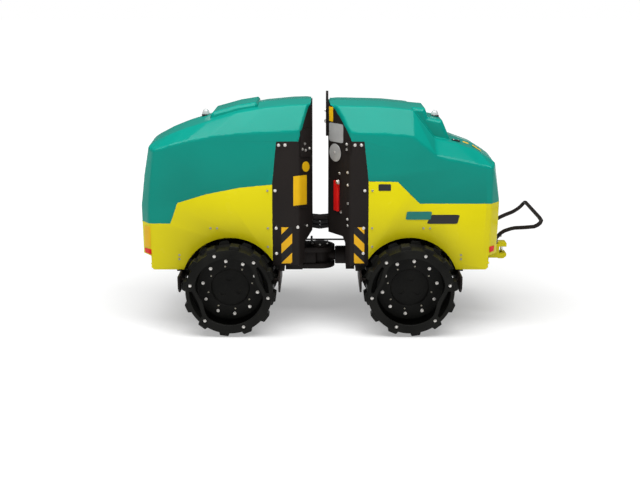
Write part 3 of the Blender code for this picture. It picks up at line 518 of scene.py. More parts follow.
# %% Cut the sheet into cells, and smooth it
def cut_into_cells(piece, size):
    """Parts every face along evenly spaced planes, so that there are points for smoothing to move."""
    mesh = bmesh.new()
    mesh.from_mesh(piece.data)
    for axis in range(3):
        normal = Vector([float(i == axis) for i in range(3)])
        places = [v.co[axis] for v in mesh.verts]
        start = math.ceil(min(places) / size)
        for k in range(start, int(max(places) / size) + 1):
            everything = mesh.verts[:] + mesh.edges[:] + mesh.faces[:]
            bmesh.ops.bisect_plane(
                mesh, geom=everything, dist=0.0004, plane_co=normal * k * size, plane_no=normal
            )
    mesh.to_mesh(piece.data)
    mesh.free()


def smooth_inside(piece, passes, is_crisp, crisp_passes):
    """Moves the points inside the sheet's edges, across the sheet only, so that its seams stay."""
    before = [(vert.co.copy(), vert.normal.copy()) for vert in piece.data.vertices]
    edit(piece)
    bpy.ops.mesh.select_mode(type="VERT")
    for repeat, crisp_too in ((crisp_passes, True), (passes - crisp_passes, False)):
        mesh = bmesh.from_edit_mesh(piece.data)
        for vert in mesh.verts:
            vert.select_set(not vert.is_boundary and (crisp_too or not is_crisp(vert.co)))
        bmesh.update_edit_mesh(piece.data)
        bpy.ops.mesh.vertices_smooth(factor=0.5, repeat=repeat)
    leave_edit()
    for vert, (place, normal) in zip(piece.data.vertices, before):
        vert.co = place + normal * normal.dot(vert.co - place)


# %% [markdown]
# ## Sheets from the smoothed skin
# Each hood has a raised part that stays crisper than the rest, so it gets fewer passes. Every sheet
# is a copy of the skin without the other panels' faces, and gets its wall and eased edges.

# %% Smooth each half's skin and part it into sheets
# By half: from the pin to the raised part's near and far end, and its half width
CRESTS = {"front": (0.325, 0.625, 0.165), "rear": (0.425, 0.745, 0.150)}
CREST_LOW = 1.0  # the raised part is all above this height
CREST_PASSES = 2
for half, sign in (("front", -1), ("rear", 1)):
    middle = Vector((PIN_X + sign * 0.52, 0.0, 0.62))  # inside the half, under its hood
    skins = [outward_side(half, panel, number, middle) for number, panel in enumerate(PANELS)]
    skin = join(f"{half}_skin", skins)
    cut_into_cells(skin, CELL)
    edit(skin)
    bpy.ops.mesh.remove_doubles(threshold=0.0014)
    leave_edit()
    near, far, wide = CRESTS[half]

    def on_crest(place):
        along = sign * (place.x - PIN_X)
        return near < along < far and abs(place.y) < wide and place.z > CREST_LOW

    smooth_inside(skin, PASSES, on_crest, CREST_PASSES)
    print(half, "skin cells:", len(skin.data.polygons))
    for number, (panel, (name, material, slot)) in enumerate(PANELS.items()):
        sheet = copy_of(skin, f"{half}_{name}")
        values = [item.value for item in sheet.data.attributes["panel"].data]
        edit(sheet)
        mesh = bmesh.from_edit_mesh(sheet.data)
        for face, value in zip(mesh.faces, values):
            face.select_set(value != number)
        bmesh.update_edit_mesh(sheet.data)
        bpy.ops.mesh.delete(type="FACE")
        bpy.ops.mesh.select_all(action="SELECT")
        bpy.ops.mesh.dissolve_limited(angle_limit=math.radians(0.08))
        leave_edit()
        apply_modifier(sheet, "SOLIDIFY", thickness=WALL, offset=-1.0)
        bevel(sheet, 0.0011, 2, 50)
        smooth(sheet, 40)
        body = f"{half}_hood" if panel == "hood" else half
        wear(sheet, material, body, slot, f"{half}_{panel}")
        print(sheet.name, len(sheet.data.polygons), "faces")
    bpy.data.objects.remove(skin)

# %% [markdown]
# ## Finishes on the CAD parts
# Every CAD part takes the material of its slot in the record. The ones that no finer piece stands
# for, such as the rear frame and the steering cylinder, keep their own shape and show it.

# %% Assign finishes by material slot
SLOT_FINISH = {
    "teal_paint": teal_paint,
    "yellow_paint": yellow_paint,
    "black_paint": black_coat,
    "drum_paint": drum_paint,
    "bright_steel": bright_steel,
    "red_paint": red_paint,
    "lamp_lens": lens_white,
    "casting": cast_iron,
}
for subpart in frame["record"]["subparts"]:
    mesh = nodes[subpart["node"]].data
    mesh.materials.clear()
    mesh.materials.append(SLOT_FINISH[subpart["material_slot"]])
nodes["steering_rod"].data.materials[0] = black_coat  # painted shade: the rod is bright steel, but it gets the black paint, as the shade of the gap makes it look black

# %% [markdown]
# ## Drums
# Each half of a drum is a rolled steel shell with two rows of pads, a bolted extension ring with
# a third row, and a hub disc inside. Round parts are half a section spun about the axle. One pad is
# modelled from a cube and copied along its row. The front left drum is made first, and
# the other three are its mirror images.

# %% Sizes of the front left drum, read from the CAD
shell_low, shell_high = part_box("front_drum_left")
ring_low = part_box("front_drum_ring_left")[0]
hub_low, hub_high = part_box("front_hub_left")
axle = (shell_low + shell_high) / 2
AXLE = Vector((axle.x, 0.0, axle.z))
PAD_RADIUS = (shell_high.x - shell_low.x) / 2
SHELL_RADIUS = PAD_RADIUS - 0.022
INNER_RADIUS = SHELL_RADIUS - 0.016
INNER_Y, SPLIT_Y, OUTER_Y = shell_high.y, shell_low.y, ring_low.y
PAD_DROP = 0.003  # the two outer rows are this much lower than the inner one
PAD_TAPER = 0.006  # how far a pad's top stands in from its foot at either end
PADS_PER_ROW = 12
SPLIT_MARGIN = 0.042  # from the shell's outer row to its edge
ROW_SPACE = 0.065  # between the two rows on the shell
print("axle:", tuple(round(v, 4) for v in AXLE), "radius over the pads:", round(PAD_RADIUS, 4))


# %% One pad, copied along a row
def pad_row(name, start_y, end_y, flat_radius, first_angle):
    """Pads about the axle. Each starts as a cube, leans in on all sides and is bevelled."""
    length = abs(end_y - start_y)
    sunk = SHELL_RADIUS - 0.004
    bpy.ops.object.select_all(action="DESELECT")
    bpy.ops.mesh.primitive_cube_add(size=1.0, scale=(0.060, length, flat_radius - sunk))
    block = bpy.context.active_object
    bpy.ops.object.transform_apply(location=False, rotation=False, scale=True)
    edit(block)
    pick_faces(block, lambda centre, normal: normal.z > 0.9)
    bpy.ops.transform.resize(value=(0.79, (length - 2 * PAD_TAPER) / length, 1.0))
    leave_edit()
    bevel(block, 0.0045, 3, 40)
    middle = (0.0, (start_y + end_y) / 2, (flat_radius + sunk) / 2)
    block.data.transform(Matrix.Translation(middle))
    copies = []
    for k in range(PADS_PER_ROW):
        angle = math.radians(first_angle + 360 / PADS_PER_ROW * k)
        turn = Matrix.Rotation(math.pi / 2 - angle, 4, "Y")
        copies.append(copy_of(block, f"{name}_{k}", Matrix.Translation(AXLE) @ turn))
    bpy.data.objects.remove(block)
    return join(name, copies)


# %% Shell with its two rows
EASED = 0.0015  # of the rolled wall's four edges
wall_profile = [
    (SPLIT_Y, SHELL_RADIUS - EASED),
    (SPLIT_Y + EASED, SHELL_RADIUS),
    (INNER_Y - EASED, SHELL_RADIUS),
    (INNER_Y, SHELL_RADIUS - EASED),
    (INNER_Y, INNER_RADIUS + EASED),
    (INNER_Y - EASED, INNER_RADIUS),
    (SPLIT_Y + EASED, INNER_RADIUS),
    (SPLIT_Y, INNER_RADIUS + EASED),
]
shell = spun("drum_wall", wall_profile, AXLE)
row_length = (INNER_Y - SPLIT_Y - SPLIT_MARGIN - ROW_SPACE) / 2
row_b_end = SPLIT_Y + SPLIT_MARGIN
row_c = pad_row("row_c", INNER_Y, INNER_Y - row_length, PAD_RADIUS, 270.0)
row_b = pad_row("row_b", row_b_end + row_length, row_b_end, PAD_RADIUS - PAD_DROP, 277.5)
drum_shell = join("front_drum_shell_left", [shell, row_c, row_b])
smooth(drum_shell)
print("row length:", round(row_length, 4), "shell faces:", len(drum_shell.data.polygons))

# %% [markdown]
# ## Extension ring
# The ring has its own row of pads and a flat outer plate. Two windows are cut through the plate,
# and a strap bridges each of them further in. Six bolts sit in shallow counterbores. A spun section
# is the same all round, so Booleans add the straps and cut the windows and bores.

# %% Section of the ring, and its strap's edge
WINDOWS = (20.5, 200.5)  # their middles about the axle, in degrees
WINDOW_HALF_ANGLE = 22.0
STRAP_HALF_ANGLE = 37.5
STRAP_BULGE = 0.032
STRAP_WIDTH = 0.022
PLATE_EDGE = SHELL_RADIUS - 0.048
PLATE_BACK = OUTER_Y + 0.012
RING_START = SPLIT_Y - 0.0003
PADS_END = OUTER_Y + 0.006
ring_profile = [
    (RING_START, SHELL_RADIUS),
    (PADS_END, SHELL_RADIUS),
    (OUTER_Y + 0.002, SHELL_RADIUS - 0.001),
    (OUTER_Y, SHELL_RADIUS - 0.004),
    (OUTER_Y, PLATE_EDGE + 0.0015),
    (OUTER_Y + 0.0015, PLATE_EDGE),
    (PLATE_BACK, PLATE_EDGE),
    (PLATE_BACK, INNER_RADIUS),
    (RING_START, INNER_RADIUS),
]


def polar(radius, angle):
    """X and Z at a radius about the axle, by an angle in degrees."""
    turn = math.radians(angle)
    return AXLE.x + radius * math.cos(turn), AXLE.z + radius * math.sin(turn)


def strap_edge(offset):
    """Radius of the strap's inner edge, by the angle from its window's middle."""
    share = min(STRAP_HALF_ANGLE, abs(offset)) / STRAP_HALF_ANGLE
    return PLATE_EDGE - STRAP_BULGE * math.cos(math.radians(90 * share)) ** 2


def fan(half_angle, steps):
    """Evenly spread angles from one side of a middle to the other."""
    return [-half_angle + 2 * half_angle * i / steps for i in range(steps + 1)]


# %% Ring, windows, straps and counterbores
ring = spun("ring_wall", ring_profile, AXLE)
spread = fan(STRAP_HALF_ANGLE, 24)
window_spread = fan(WINDOW_HALF_ANGLE, 16)
for middle in WINDOWS:
    near = [polar(strap_edge(a), middle + a) for a in spread]
    far = [polar(PLATE_EDGE + 0.010, middle + a) for a in reversed(spread)]
    combine(ring, "UNION", plate("strap", near + far, OUTER_Y, PLATE_BACK))
    outer = [polar(INNER_RADIUS - 0.005, middle + a) for a in window_spread]
    inner = [polar(strap_edge(a) + STRAP_WIDTH, middle + a) for a in reversed(window_spread)]
    window = plate("window", outer + inner, OUTER_Y - 0.02, OUTER_Y + 0.02)
    combine(ring, "DIFFERENCE", window)
RING_BOLT_CIRCLE = 0.2145
BORE_RADIUS, BORE_DEPTH = 0.0125, 0.009
RING_BOLTS = [polar(RING_BOLT_CIRCLE, 50.5 + 60 * k) for k in range(6)]
bores = [cylinder(BORE_RADIUS, 2 * BORE_DEPTH, (x, OUTER_Y, z), 24, True) for x, z in RING_BOLTS]
combine(ring, "DIFFERENCE", join("bores", bores))
row_a = pad_row("row_a", RING_START, PADS_END, PAD_RADIUS - PAD_DROP, 262.5)
drum_ring = join("front_drum_extension_left", [ring, row_a])
smooth(drum_ring)
print("ring faces:", len(drum_ring.data.polygons))

# %% [markdown]
# ## Hub disc
# The disc is pressed inwards around its middle, where three round dimples are drilled. Its whole
# section, dish and flange, is one line spun about the axle, and only the dimples are cut.

# %% Hub disc with its dish and dimples
HUB_FACE = hub_low.y
HUB_BACK = hub_high.y
hub_profile = [
    (HUB_BACK, 0.0),
    (HUB_BACK, INNER_RADIUS - 0.0005),
    (HUB_BACK - 0.016, INNER_RADIUS - 0.0005),
    (HUB_BACK - 0.017, 0.1865),
    (HUB_FACE + 0.002, 0.1850),
    (HUB_FACE, 0.1830),
    (HUB_FACE, 0.1080),
    (HUB_FACE + 0.0015, 0.1065),
    (HUB_BACK - 0.0200, 0.1010),
    (HUB_BACK - 0.0205, 0.0990),
    (HUB_BACK - 0.0200, 0.0),
]
hub_disc = spun("front_hub_disc_left", hub_profile, AXLE)
dimples = []
for angle in (95, 215, 335):
    x, z = polar(0.052, angle)
    dimples.append(cylinder(0.017, 0.008, (x, HUB_BACK - 0.0205, z), 28, True))
combine(hub_disc, "DIFFERENCE", join("dimples", dimples))
smooth(hub_disc)
print("hub disc faces:", len(hub_disc.data.polygons))

# %% [markdown]
# ## Bolts
# The machine is held together by zinc-plated hexagon bolts. One bolt head with its washer is
# modelled, and copies of it are set wherever one is needed, pointing out of the surface.


# %% A bolt head, and a way to set many of them
def bolt_head(radius):
    """A hexagon head with a rounded top on a washer, standing on the origin and pointing up."""
    head = cylinder(radius, radius * 0.8, (0.0, 0.0, radius * 0.6), 6)
    edit(head)
    pick_faces(head, lambda centre, normal: normal.z > 0.9)
    bpy.ops.mesh.inset(thickness=radius * 0.16, depth=radius * 0.12)
    leave_edit()
    washer = cylinder(radius * 1.4, radius * 0.3, (0.0, 0.0, radius * 0.15), 20)
    bolt = join("bolt_head", [head, washer])
    bevel(bolt, radius * 0.06, 1, 40)
    return bolt


def set_bolts(name, radius, places, body, material=zinc):
    """Bolts at (point, direction) places, joined into one piece."""
    pattern = bolt_head(radius)
    copies = []
    for k, (point, direction) in enumerate(places):
        turn = Vector(direction).to_track_quat("Z", "Y").to_matrix().to_4x4()
        spin = Matrix.Rotation(0.7 * k, 4, "Z")
        matrix = Matrix.Translation(Vector(point)) @ turn @ spin
        copies.append(copy_of(pattern, f"{name}_{k}", matrix))
    bpy.data.objects.remove(pattern)
    piece = join(name, copies)
    smooth(piece, 30)
    return wear(piece, material, body, "bright_steel")


# %% [markdown]
# ## All four half drums
# The machine's left and right, and its front and rear, are mirror images. A mirrored copy of the
# mesh is turned the right side out again. The bolts are set anew, so that none is mirrored.

# %% Mirror the front left drum to the other three places
MIRROR_Y = Matrix.Scale(-1, 4, (0, 1, 0))
TO_REAR = Matrix.Translation((2 * PIN_X, 0, 0)) @ Matrix.Scale(-1, 4, (1, 0, 0))
OUTWARDS = (0, -1, 0)


def around(radius, first, count, y):
    """Places of bolts on a circle about the axle, that point outwards."""
    spots = [polar(radius, first + 360 / count * k) for k in range(count)]
    return [((x, y, z), OUTWARDS) for x, z in spots]


ring_places = [((x, OUTER_Y + BORE_DEPTH - 0.0002, z), OUTWARDS) for x, z in RING_BOLTS]
DRUM_BOLTS = (
    ("ring", 0.0064, ring_places, zinc),
    ("hub", 0.0066, around(0.152, -10, 10, HUB_FACE), zinc),
    ("stud", 0.0034, around(0.124, 12, 8, HUB_FACE), dull_zinc),
)
for half, to_half in (("front", Matrix.Identity(4)), ("rear", TO_REAR)):
    for side, to_side in (("left", Matrix.Identity(4)), ("right", MIRROR_Y)):
        there = to_half @ to_side
        shell = copy_of(drum_shell, f"{half}_drum_shell_{side}", there)
        wear(shell, drum_paint, f"{half}_drum", "drum_paint", f"{half}_drum_{side}")
        ring = copy_of(drum_ring, f"{half}_drum_extension_{side}", there)
        wear(ring, drum_paint, f"{half}_drum", "drum_paint", f"{half}_drum_ring_{side}")
        disc = copy_of(hub_disc, f"{half}_hub_disc_{side}", there)
        wear(disc, drum_paint, f"{half}_drum", "drum_paint", f"{half}_hub_{side}")
        aim = there.to_3x3()
        for kind, radius, places, material in DRUM_BOLTS:
            moved = [(there @ Vector(point), aim @ Vector(to)) for point, to in places]
            set_bolts(f"{half}_{kind}_bolts_{side}", radius, moved, f"{half}_drum", material)
for pattern in (drum_shell, drum_ring, hub_disc):
    bpy.data.objects.remove(pattern)

# %% [markdown]
# ## Finding places on the machine
# Small fittings are placed where the photograph shows them. A ray goes from the camera through a
# point of the 640 by 480 picture, and the fitting sits where the ray meets the CAD surface. For
# what the picture doesn't show, a ray comes from outside at a given height and side.

# %% Rays onto the CAD surface
trees = {}
FOCAL = 640 * camera_data.lens / camera_data.sensor_width


def surface(origin, direction, names):
    """Nearest (point, normal) where a ray meets one of the named CAD nodes or finished sheets."""
    found = None
    for name in names:
        if name not in trees:
            mesh = (nodes.get(name) or bpy.data.objects[name]).data
            trees[name] = surface_tree(mesh)
        place, normal, _, far = trees[name].ray_cast(origin, direction)
        if place is not None and (found is None or far < found[2]):
            found = (place, normal, far)
    if found is None:
        raise RuntimeError(f"no surface of {names} from {tuple(origin)} along {tuple(direction)}")
    return found[0], found[1]


def sight(x, y):
    """The direction from the camera through a pixel of the picture."""
    ray = Vector(((x - 320) / FOCAL, (240 - y) / FOCAL, -1.0)).normalized()
    return camera.rotation_euler.to_matrix() @ ray


def seen_at(x, y, *names):
    """The (point, normal) that the photograph shows at a pixel."""
    return surface(camera.location, sight(x, y), names)


def from_outside(point, direction, *names):
    """The (point, normal) met by a ray that starts outside and goes along a direction."""
    direction = Vector(direction).normalized()
    return surface(Vector(point) - direction * 0.4, direction, names)


def mirrored_places(places):
    """The same places on the machine's other side."""
    return [(Vector((p.x, -p.y, p.z)), Vector((n.x, -n.y, n.z))) for p, n in places]


# %% [markdown]
# ## Bolts of the body
# Bright hexagon bolts hold the black cheeks, and smaller ones hold the yellow panels. The places
# are where the photograph shows their heads, and the right side gets them mirrored.

# %% Bolts on the cheeks and panels, on both sides
CHEEK_BOLTS = {
    "front": [
        (275.0, 190.7), (276.2, 228.2), (276.6, 253.4), (278.5, 145.2), (285.0, 145.2),
        (297.8, 227.3), (306.8, 225.5),
    ],
    "rear": [
        (347.8, 172.7), (347.8, 185.2), (347.8, 203.6), (347.5, 219.4), (347.5, 225.5),
        (340.8, 212.1), (339.6, 173.3),
        (364.8, 190.7), (363.6, 228.2), (363.2, 253.4), (361.5, 145.2), (355.0, 145.2),
    ],
}
PANEL_BOLTS = {
    "front": [
        (267.3, 190.7), (210.5, 228.3), (217.0, 228.3), (267.9, 228.2), (267.9, 246.8),
        (179.4, 255.0), (179.4, 259.0),
    ],
    "rear": [
        (372.5, 190.7), (423.5, 228.3), (430.0, 228.3), (372.1, 228.2), (372.1, 246.8),
        (461.0, 255.0), (461.0, 259.0),
    ],
}
for half in ("front", "rear"):
    cheek = f"{half}_cheek_left"
    places = [seen_at(x, y, cheek) for x, y in CHEEK_BOLTS[half]]
    set_bolts(f"{half}_cheek_bolts", 0.0060, places + mirrored_places(places), half)
    panel = f"{half}_side_panel_left"
    places = [seen_at(x, y, panel) for x, y in PANEL_BOLTS[half]]
    set_bolts(f"{half}_panel_bolts", 0.0044, places + mirrored_places(places), half, dull_zinc)
    print(half, "bolts on one side:", len(CHEEK_BOLTS[half]) + len(PANEL_BOLTS[half]))

# %% [markdown]
# ## Thin plates on the paint
# Thin blank plates lie on the paint. Each is drawn as one face just over the surface and extruded
# outwards. They could be painted on in a material, but a plate's edge catches the light.


# %% A thin plate drawn over the surface
def sticker(name, corners, material, body, slot, thickness=0.0008, lift=0.0004):
    """A plate with its corners on the surface, given as (point, normal) pairs in order."""
    normal = sum((n for _, n in corners), Vector()).normalized()
    piece = extruded(name, [p + normal * lift for p, _ in corners], normal * thickness)
    if thickness > 0.002:
        bevel(piece, thickness * 0.25, 2)
    return wear(piece, material, body, slot)


def seen_corners(pixels, *names):
    """Pixels of the picture, laid on the flat face that it shows in their middle."""
    place, normal = seen_at(*(sum(values) / len(pixels) for values in zip(*pixels)), *names)
    corners = []
    for x, y in pixels:
        ray = sight(x, y)
        far = normal.dot(place - camera.location) / normal.dot(ray)
        corners.append((camera.location + ray * far, normal))
    return corners


def rounded_corners(pixels, share=0.12, steps=3):
    """The corners of a plate in the picture, each replaced by a short arc."""
    points = []
    count = len(pixels)
    for i in range(count):
        before, corner, after = (Vector(pixels[j % count]) for j in (i - 1, i, i + 1))
        start, end = corner.lerp(before, share), corner.lerp(after, share)
        for k in range(steps + 1):
            t = k / steps
            points.append(start.lerp(corner, t).lerp(corner.lerp(end, t), t))
    return points


def disc_around(x, y, radius, *names):
    """Points of a circle on the surface, around what a pixel shows."""
    centre, normal = seen_at(x, y, *names)
    across = normal.cross(Vector((0, 0, 1))).normalized() * radius
    up = across.cross(normal).normalized() * radius
    angles = [2 * math.pi * k / 32 for k in range(32)]
    return [(centre + across * math.cos(a) + up * math.sin(a), normal) for a in angles]


def patch_around(x, y, half_long, half_wide, *names, share=0.12, steps=3):
    """A rounded rectangle on the surface, along X and across it, around what a pixel shows."""
    centre, normal = seen_at(x, y, *names)
    across = normal.cross(Vector((1, 0, 0))).normalized()
    along = across.cross(normal)
    corners = [(i * half_long, j * half_wide) for i, j in ((-1, -1), (1, -1), (1, 1), (-1, 1))]
    outline = rounded_corners(corners, share, steps)
    return [(centre + along * a + across * b, normal) for a, b in outline]


# %% [markdown]
# ## Plates that bend with the sheet
# Some plates lie over a soft fold, where a flat one would stand off. A grid of points is laid on
# the finished sheet by rays, and Solidify gives the grid its thickness.


# %% A thin plate that follows a rounded sheet
def draped(name, pixels, material, body, slot, *sheets, thickness=0.0010, steps=10):
    """Lays a grid of points between four pixels on the finished sheets, and gives it a thickness."""
    a, b, c, d = (Vector(pixel) for pixel in pixels)
    points = []
    for i in range(steps + 1):
        for j in range(steps + 1):
            s, t = i / steps, j / steps
            pixel = a.lerp(b, s).lerp(d.lerp(c, s), t)
            place, normal = seen_at(pixel.x, pixel.y, *sheets)
            points.append(place + normal * (thickness + 0.0003))
    faces = []
    for i in range(steps):
        for j in range(steps):
            corner = i * (steps + 1) + j
            faces.append((corner, corner + steps + 1, corner + steps + 2, corner + 1))
    piece = new_piece(name, points, faces=faces)
    middle = piece.data.polygons[len(faces) // 2]
    if middle.normal.dot(camera.location - middle.center) < 0:
        piece.data.flip_normals()
    apply_modifier(piece, "SOLIDIFY", thickness=thickness, offset=-1.0)
    smooth(piece, 40)
    return wear(piece, material, body, slot)


# %% [markdown]
# ## Hazard stripes
# A strip on each cheek warns of the gap with slanted bands. They could be cut as thin plates, but
# a band is only paint. So the material wraps the sum of a share of X and Z into one pitch, and is
# black in the second part of it.

# %% Paint with slanted bands
BAND_PITCH = 0.108
YELLOW_PART = 0.054


def math_step(tree, operation, source, amount):
    """A Math node between a socket and a number."""
    node = add_node(tree, "Math")
    node.operation = operation
    node.inputs[1].default_value = amount
    tree.links.new(source, node.inputs[0])
    return node


def hazard(name, rise, at_height):
    """Yellow and black bands at 45 degrees, from the sum or difference of X and Z."""
    material = finish(name, (0.80, 0.43, 0.008), 0.40, drift=0.04, drift_scale=20.0, specular=0.2)
    tree = material.node_tree
    shader = tree.nodes["Principled BSDF"]
    paint = shader.inputs["Base Color"].links[0].from_socket
    place = add_node(tree, "TexCoord")
    split = add_node(tree, "SeparateXYZ")
    tree.links.new(place.outputs["Object"], split.inputs["Vector"])
    slant = math_step(tree, "MULTIPLY_ADD", split.outputs["X"], rise)
    tree.links.new(split.outputs["Z"], slant.inputs[2])
    shift = math_step(tree, "SUBTRACT", slant.outputs["Value"], at_height)
    wrap = math_step(tree, "FLOORED_MODULO", shift.outputs["Value"], BAND_PITCH)
    is_black = math_step(tree, "GREATER_THAN", wrap.outputs["Value"], YELLOW_PART)
    mix = add_node(tree, "Mix")
    mix.data_type = "RGBA"
    mix.inputs["B"].default_value = (0.010, 0.009, 0.009, 1.0)
    tree.links.new(is_black.outputs["Value"], mix.inputs["Factor"])
    tree.links.new(paint, mix.inputs["A"])
    tree.links.new(mix.outputs["Result"], shader.inputs["Base Color"])
    return material


# %% Strips beside the gap
STRIPES = {
    "front": [(281.4, 227.3), (292.1, 227.3), (292.1, 263.3), (281.4, 263.3)],
    "rear": [(354.0, 227.3), (364.3, 227.3), (364.3, 263.3), (354.0, 263.3)],
}
# Columns: half, which way its bands rise along X, and a pixel on the border of two bands
BANDS = (("front", -1.0, (281.8, 253.1)), ("rear", 1.0, (364.0, 253.1)))
for half, rise, foot_pixel in BANDS:
    cheek = f"{half}_cheek_left"
    corners = seen_corners(STRIPES[half], cheek)
    foot, _ = seen_at(*foot_pixel, cheek)
    material = hazard(f"{half}_hazard", rise, foot.z + rise * foot.x)
    sticker(f"{half}_stripes_left", corners, material, half, "yellow_paint")
    sticker(f"{half}_stripes_right", mirrored_places(corners), material, half, "yellow_paint")
print("strips with bands:", 2 * len(BANDS))

# %% [markdown]
# ## Blank plates and reflectors
# The cheeks, panels and hoods carry small plates, and each corner a red reflector. Their corners are
# read in the picture. Where the sheet is flat, a flat plate does. On a fold, the plate is draped.

# %% Blank plates on the cheeks, panels and hoods
# Columns: name, material, node that carries it, corners in the picture
SIGNS = [
    ("rear_tall_sign", sign_yellow, "rear_cheek_left",
     [(329.3, 106.2), (333.2, 107.0), (333.2, 121.6), (329.3, 120.8)]),
    ("rear_data_plate", plate_grey, "rear_cheek_left",
     [(329.3, 122.2), (343.3, 124.6), (343.3, 143.3), (329.3, 140.8)]),
    ("rear_panel_label", label_black, "rear_side_panel_left",
     [(378.5, 184.2), (391.0, 184.2), (391.0, 190.8), (378.5, 190.8)]),
    ("rear_black_plate", label_black, "rear_side_panel_left",
     [(431.3, 214.8), (459.9, 214.8), (457.4, 223.8), (426.6, 223.8)]),
    ("rear_teal_plate", label_teal, "rear_side_panel_left",
     [(407.0, 211.6), (432.0, 211.6), (430.6, 219.6), (405.6, 219.6)]),
]
for name, material, node, pixels in SIGNS:
    corners = seen_corners(rounded_corners(pixels), node)
    slot = "black_paint" if material in (label_black, plate_grey) else "yellow_paint"
    lift = 0.0014 if name == "rear_teal_plate" else 0.0004  # the teal plate lies over the black one
    sticker(name, corners, material, "rear", slot, lift=lift)
# Columns: name, sheets of the front half that carry it, corners in the picture
DRAPED_SIGNS = [
    ("front_warning_sign", ("front_cheek_sheet_left",),
     [(293.3, 176.4), (306.6, 174.8), (306.6, 204.2), (293.3, 205.8)]),
    ("front_corner_sign", ("front_side_sheet_left", "front_end_sheet"),
     [(144.6, 225.7), (150.4, 226.6), (151.0, 247.4), (145.2, 246.1)]),
]
for name, sheets, pixels in DRAPED_SIGNS:
    draped(name, pixels, sign_yellow, "front", "yellow_paint", *sheets)
HALF_WIDTH = 0.018  # of the plates on the hood
# Columns: name, x, y, half length
HOOD_SIGNS = [
    ("rear_hood_sign_small", 465.5, 142.6, 0.016),
    ("rear_hood_sign_long", 476.5, 148.0, 0.030),
]
for name, x, y, half_long in HOOD_SIGNS:
    patch = patch_around(x, y, half_long, HALF_WIDTH, "rear_hood")
    sticker(name, patch, sign_yellow, "rear_hood", "yellow_paint")
turns = [math.radians(12 * k) for k in range(30)]
round_pixels = [(305.7 + 3.6 * math.cos(turn), 166.6 + 5.2 * math.sin(turn)) for turn in turns]
round_corners = seen_corners(round_pixels, "front_cheek_left")
sticker("front_round_sign", round_corners, sign_yellow, "front", "yellow_paint")
print("plates:", len(SIGNS) + len(DRAPED_SIGNS) + len(HOOD_SIGNS) + 1)

# %% Red reflectors on the four corners
REFLECTORS = {
    "front": [(145.2, 247.6), (151.2, 249.2), (151.6, 254.4), (145.8, 252.0)],
    "rear": [(489.2, 246.8), (493.6, 245.6), (493.2, 250.8), (489.2, 252.2)],
}
for half, pixels in REFLECTORS.items():
    name = f"{half}_reflector_left"
    sheets = (f"{half}_side_sheet_left", f"{half}_end_sheet")
    worn = (reflector_red, half, "red_paint")
    reflector = draped(name, pixels, *worn, *sheets, thickness=0.003, steps=5)
    wear(copy_of(reflector, f"{half}_reflector_right", MIRROR_Y), *worn)
print("reflectors:", 2 * len(REFLECTORS))

# %% [markdown]
# ## Edges of the plain steel parts
# Cut plates, tubes and castings have slightly rounded edges that catch the light. The CAD's edges
# are sharp, and its meshes may not be changed, so each part gets a copy with a bevel. The rear
# frame isn't among them, because its rounded copy would touch the steering cylinder.

# %% Round the edges of copies of the plain parts
# Width of the rounded edge, by CAD node
ROUNDED = {
    "front_bulkhead": 0.0010,
    "rear_bulkhead": 0.0010,
    "front_frame": 0.0020,
    "front_drum_carrier": 0.0020,
    "rear_drum_carrier": 0.0020,
    "front_scraper_inner": 0.0012,
    "front_scraper_outer": 0.0012,
    "rear_scraper_inner": 0.0012,
    "rear_scraper_outer": 0.0012,
    "joint_knuckle": 0.0020,
    "tow_hitch": 0.0025,
    "lifting_plate": 0.0020,
    "lock_bar": 0.0015,
    "handle_bow": 0.0008,
    "engine_block": 0.0060,
    "tank_block": 0.0120,
}
behaviour = frame["record"]["behaviour"]
body_of = {node: body for body, names in behaviour["bodies"].items() for node in names}
slot_of = {subpart["node"]: subpart["material_slot"] for subpart in frame["record"]["subparts"]}
for node, width in ROUNDED.items():
    piece = merged_copy(node, f"{node}_rounded")
    bevel(piece, width, 2, 40)
    smooth(piece, 40)
    wear(piece, SLOT_FINISH[slot_of[node]], body_of[node], slot_of[node], node)
print("rounded parts:", len(ROUNDED))

# %% [markdown]
# ## Lamps, handle and hitch
# Each hood has a work lamp with a clear dome on a black foot. The tow jaw holds a bright pin. They
# are round, so each is half its section spun about an upright axis.

# %% Lamp domes
DOME_STEPS = 8
for half in ("front", "rear"):
    low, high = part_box(f"{half}_lamp")
    centre = (low + high) / 2
    radius = (high.x - low.x) / 2
    foot = low.z + 0.30 * (high.z - low.z)
    profile = [
        (low.z, 0.0),
        (low.z, radius - 0.001),
        (low.z + 0.001, radius),
        (foot - 0.001, radius * 0.97),
        (foot, radius * 0.95),
        (foot, 0.0),
    ]
    hood = f"{half}_hood"
    turned_part(f"{half}_lamp_foot", profile, centre, 40, 2, rubber, hood, "black_paint")
    profile = [(foot, 0.0)]
    for step in range(DOME_STEPS):
        turn = math.radians(90 * step / DOME_STEPS)
        profile.append((foot + (high.z - foot) * math.sin(turn), radius * 0.88 * math.cos(turn)))
    profile.append((high.z, 0.0))
    worn = (lens_white, hood, "lamp_lens", f"{half}_lamp")
    turned_part(f"{half}_lamp_dome", profile, centre, 40, 2, *worn)
    print(half, "lamp: radius", round(radius, 4), "height", round(high.z - low.z, 4))


# %% A round bar or hose along a smooth line
def pipe(name, points, radius):
    """A tube with closed ends along a smooth curve through its points."""
    curve = bpy.data.curves.new(name, "CURVE")
    curve.dimensions = "3D"
    curve.bevel_depth = radius
    curve.bevel_resolution = 4
    curve.use_fill_caps = True
    curve.resolution_u = 8
    spline = curve.splines.new("BEZIER")
    spline.bezier_points.add(len(points) - 1)
    for knot, point in zip(spline.bezier_points, points):
        knot.co = point
        knot.handle_left_type = "AUTO"
        knot.handle_right_type = "AUTO"
    piece = bpy.data.objects.new(name, curve)
    scene.collection.objects.link(piece)
    select_only(piece)
    bpy.ops.object.convert(target="MESH")
    piece = bpy.context.active_object
    recalculate(piece)
    smooth(piece)
    return piece


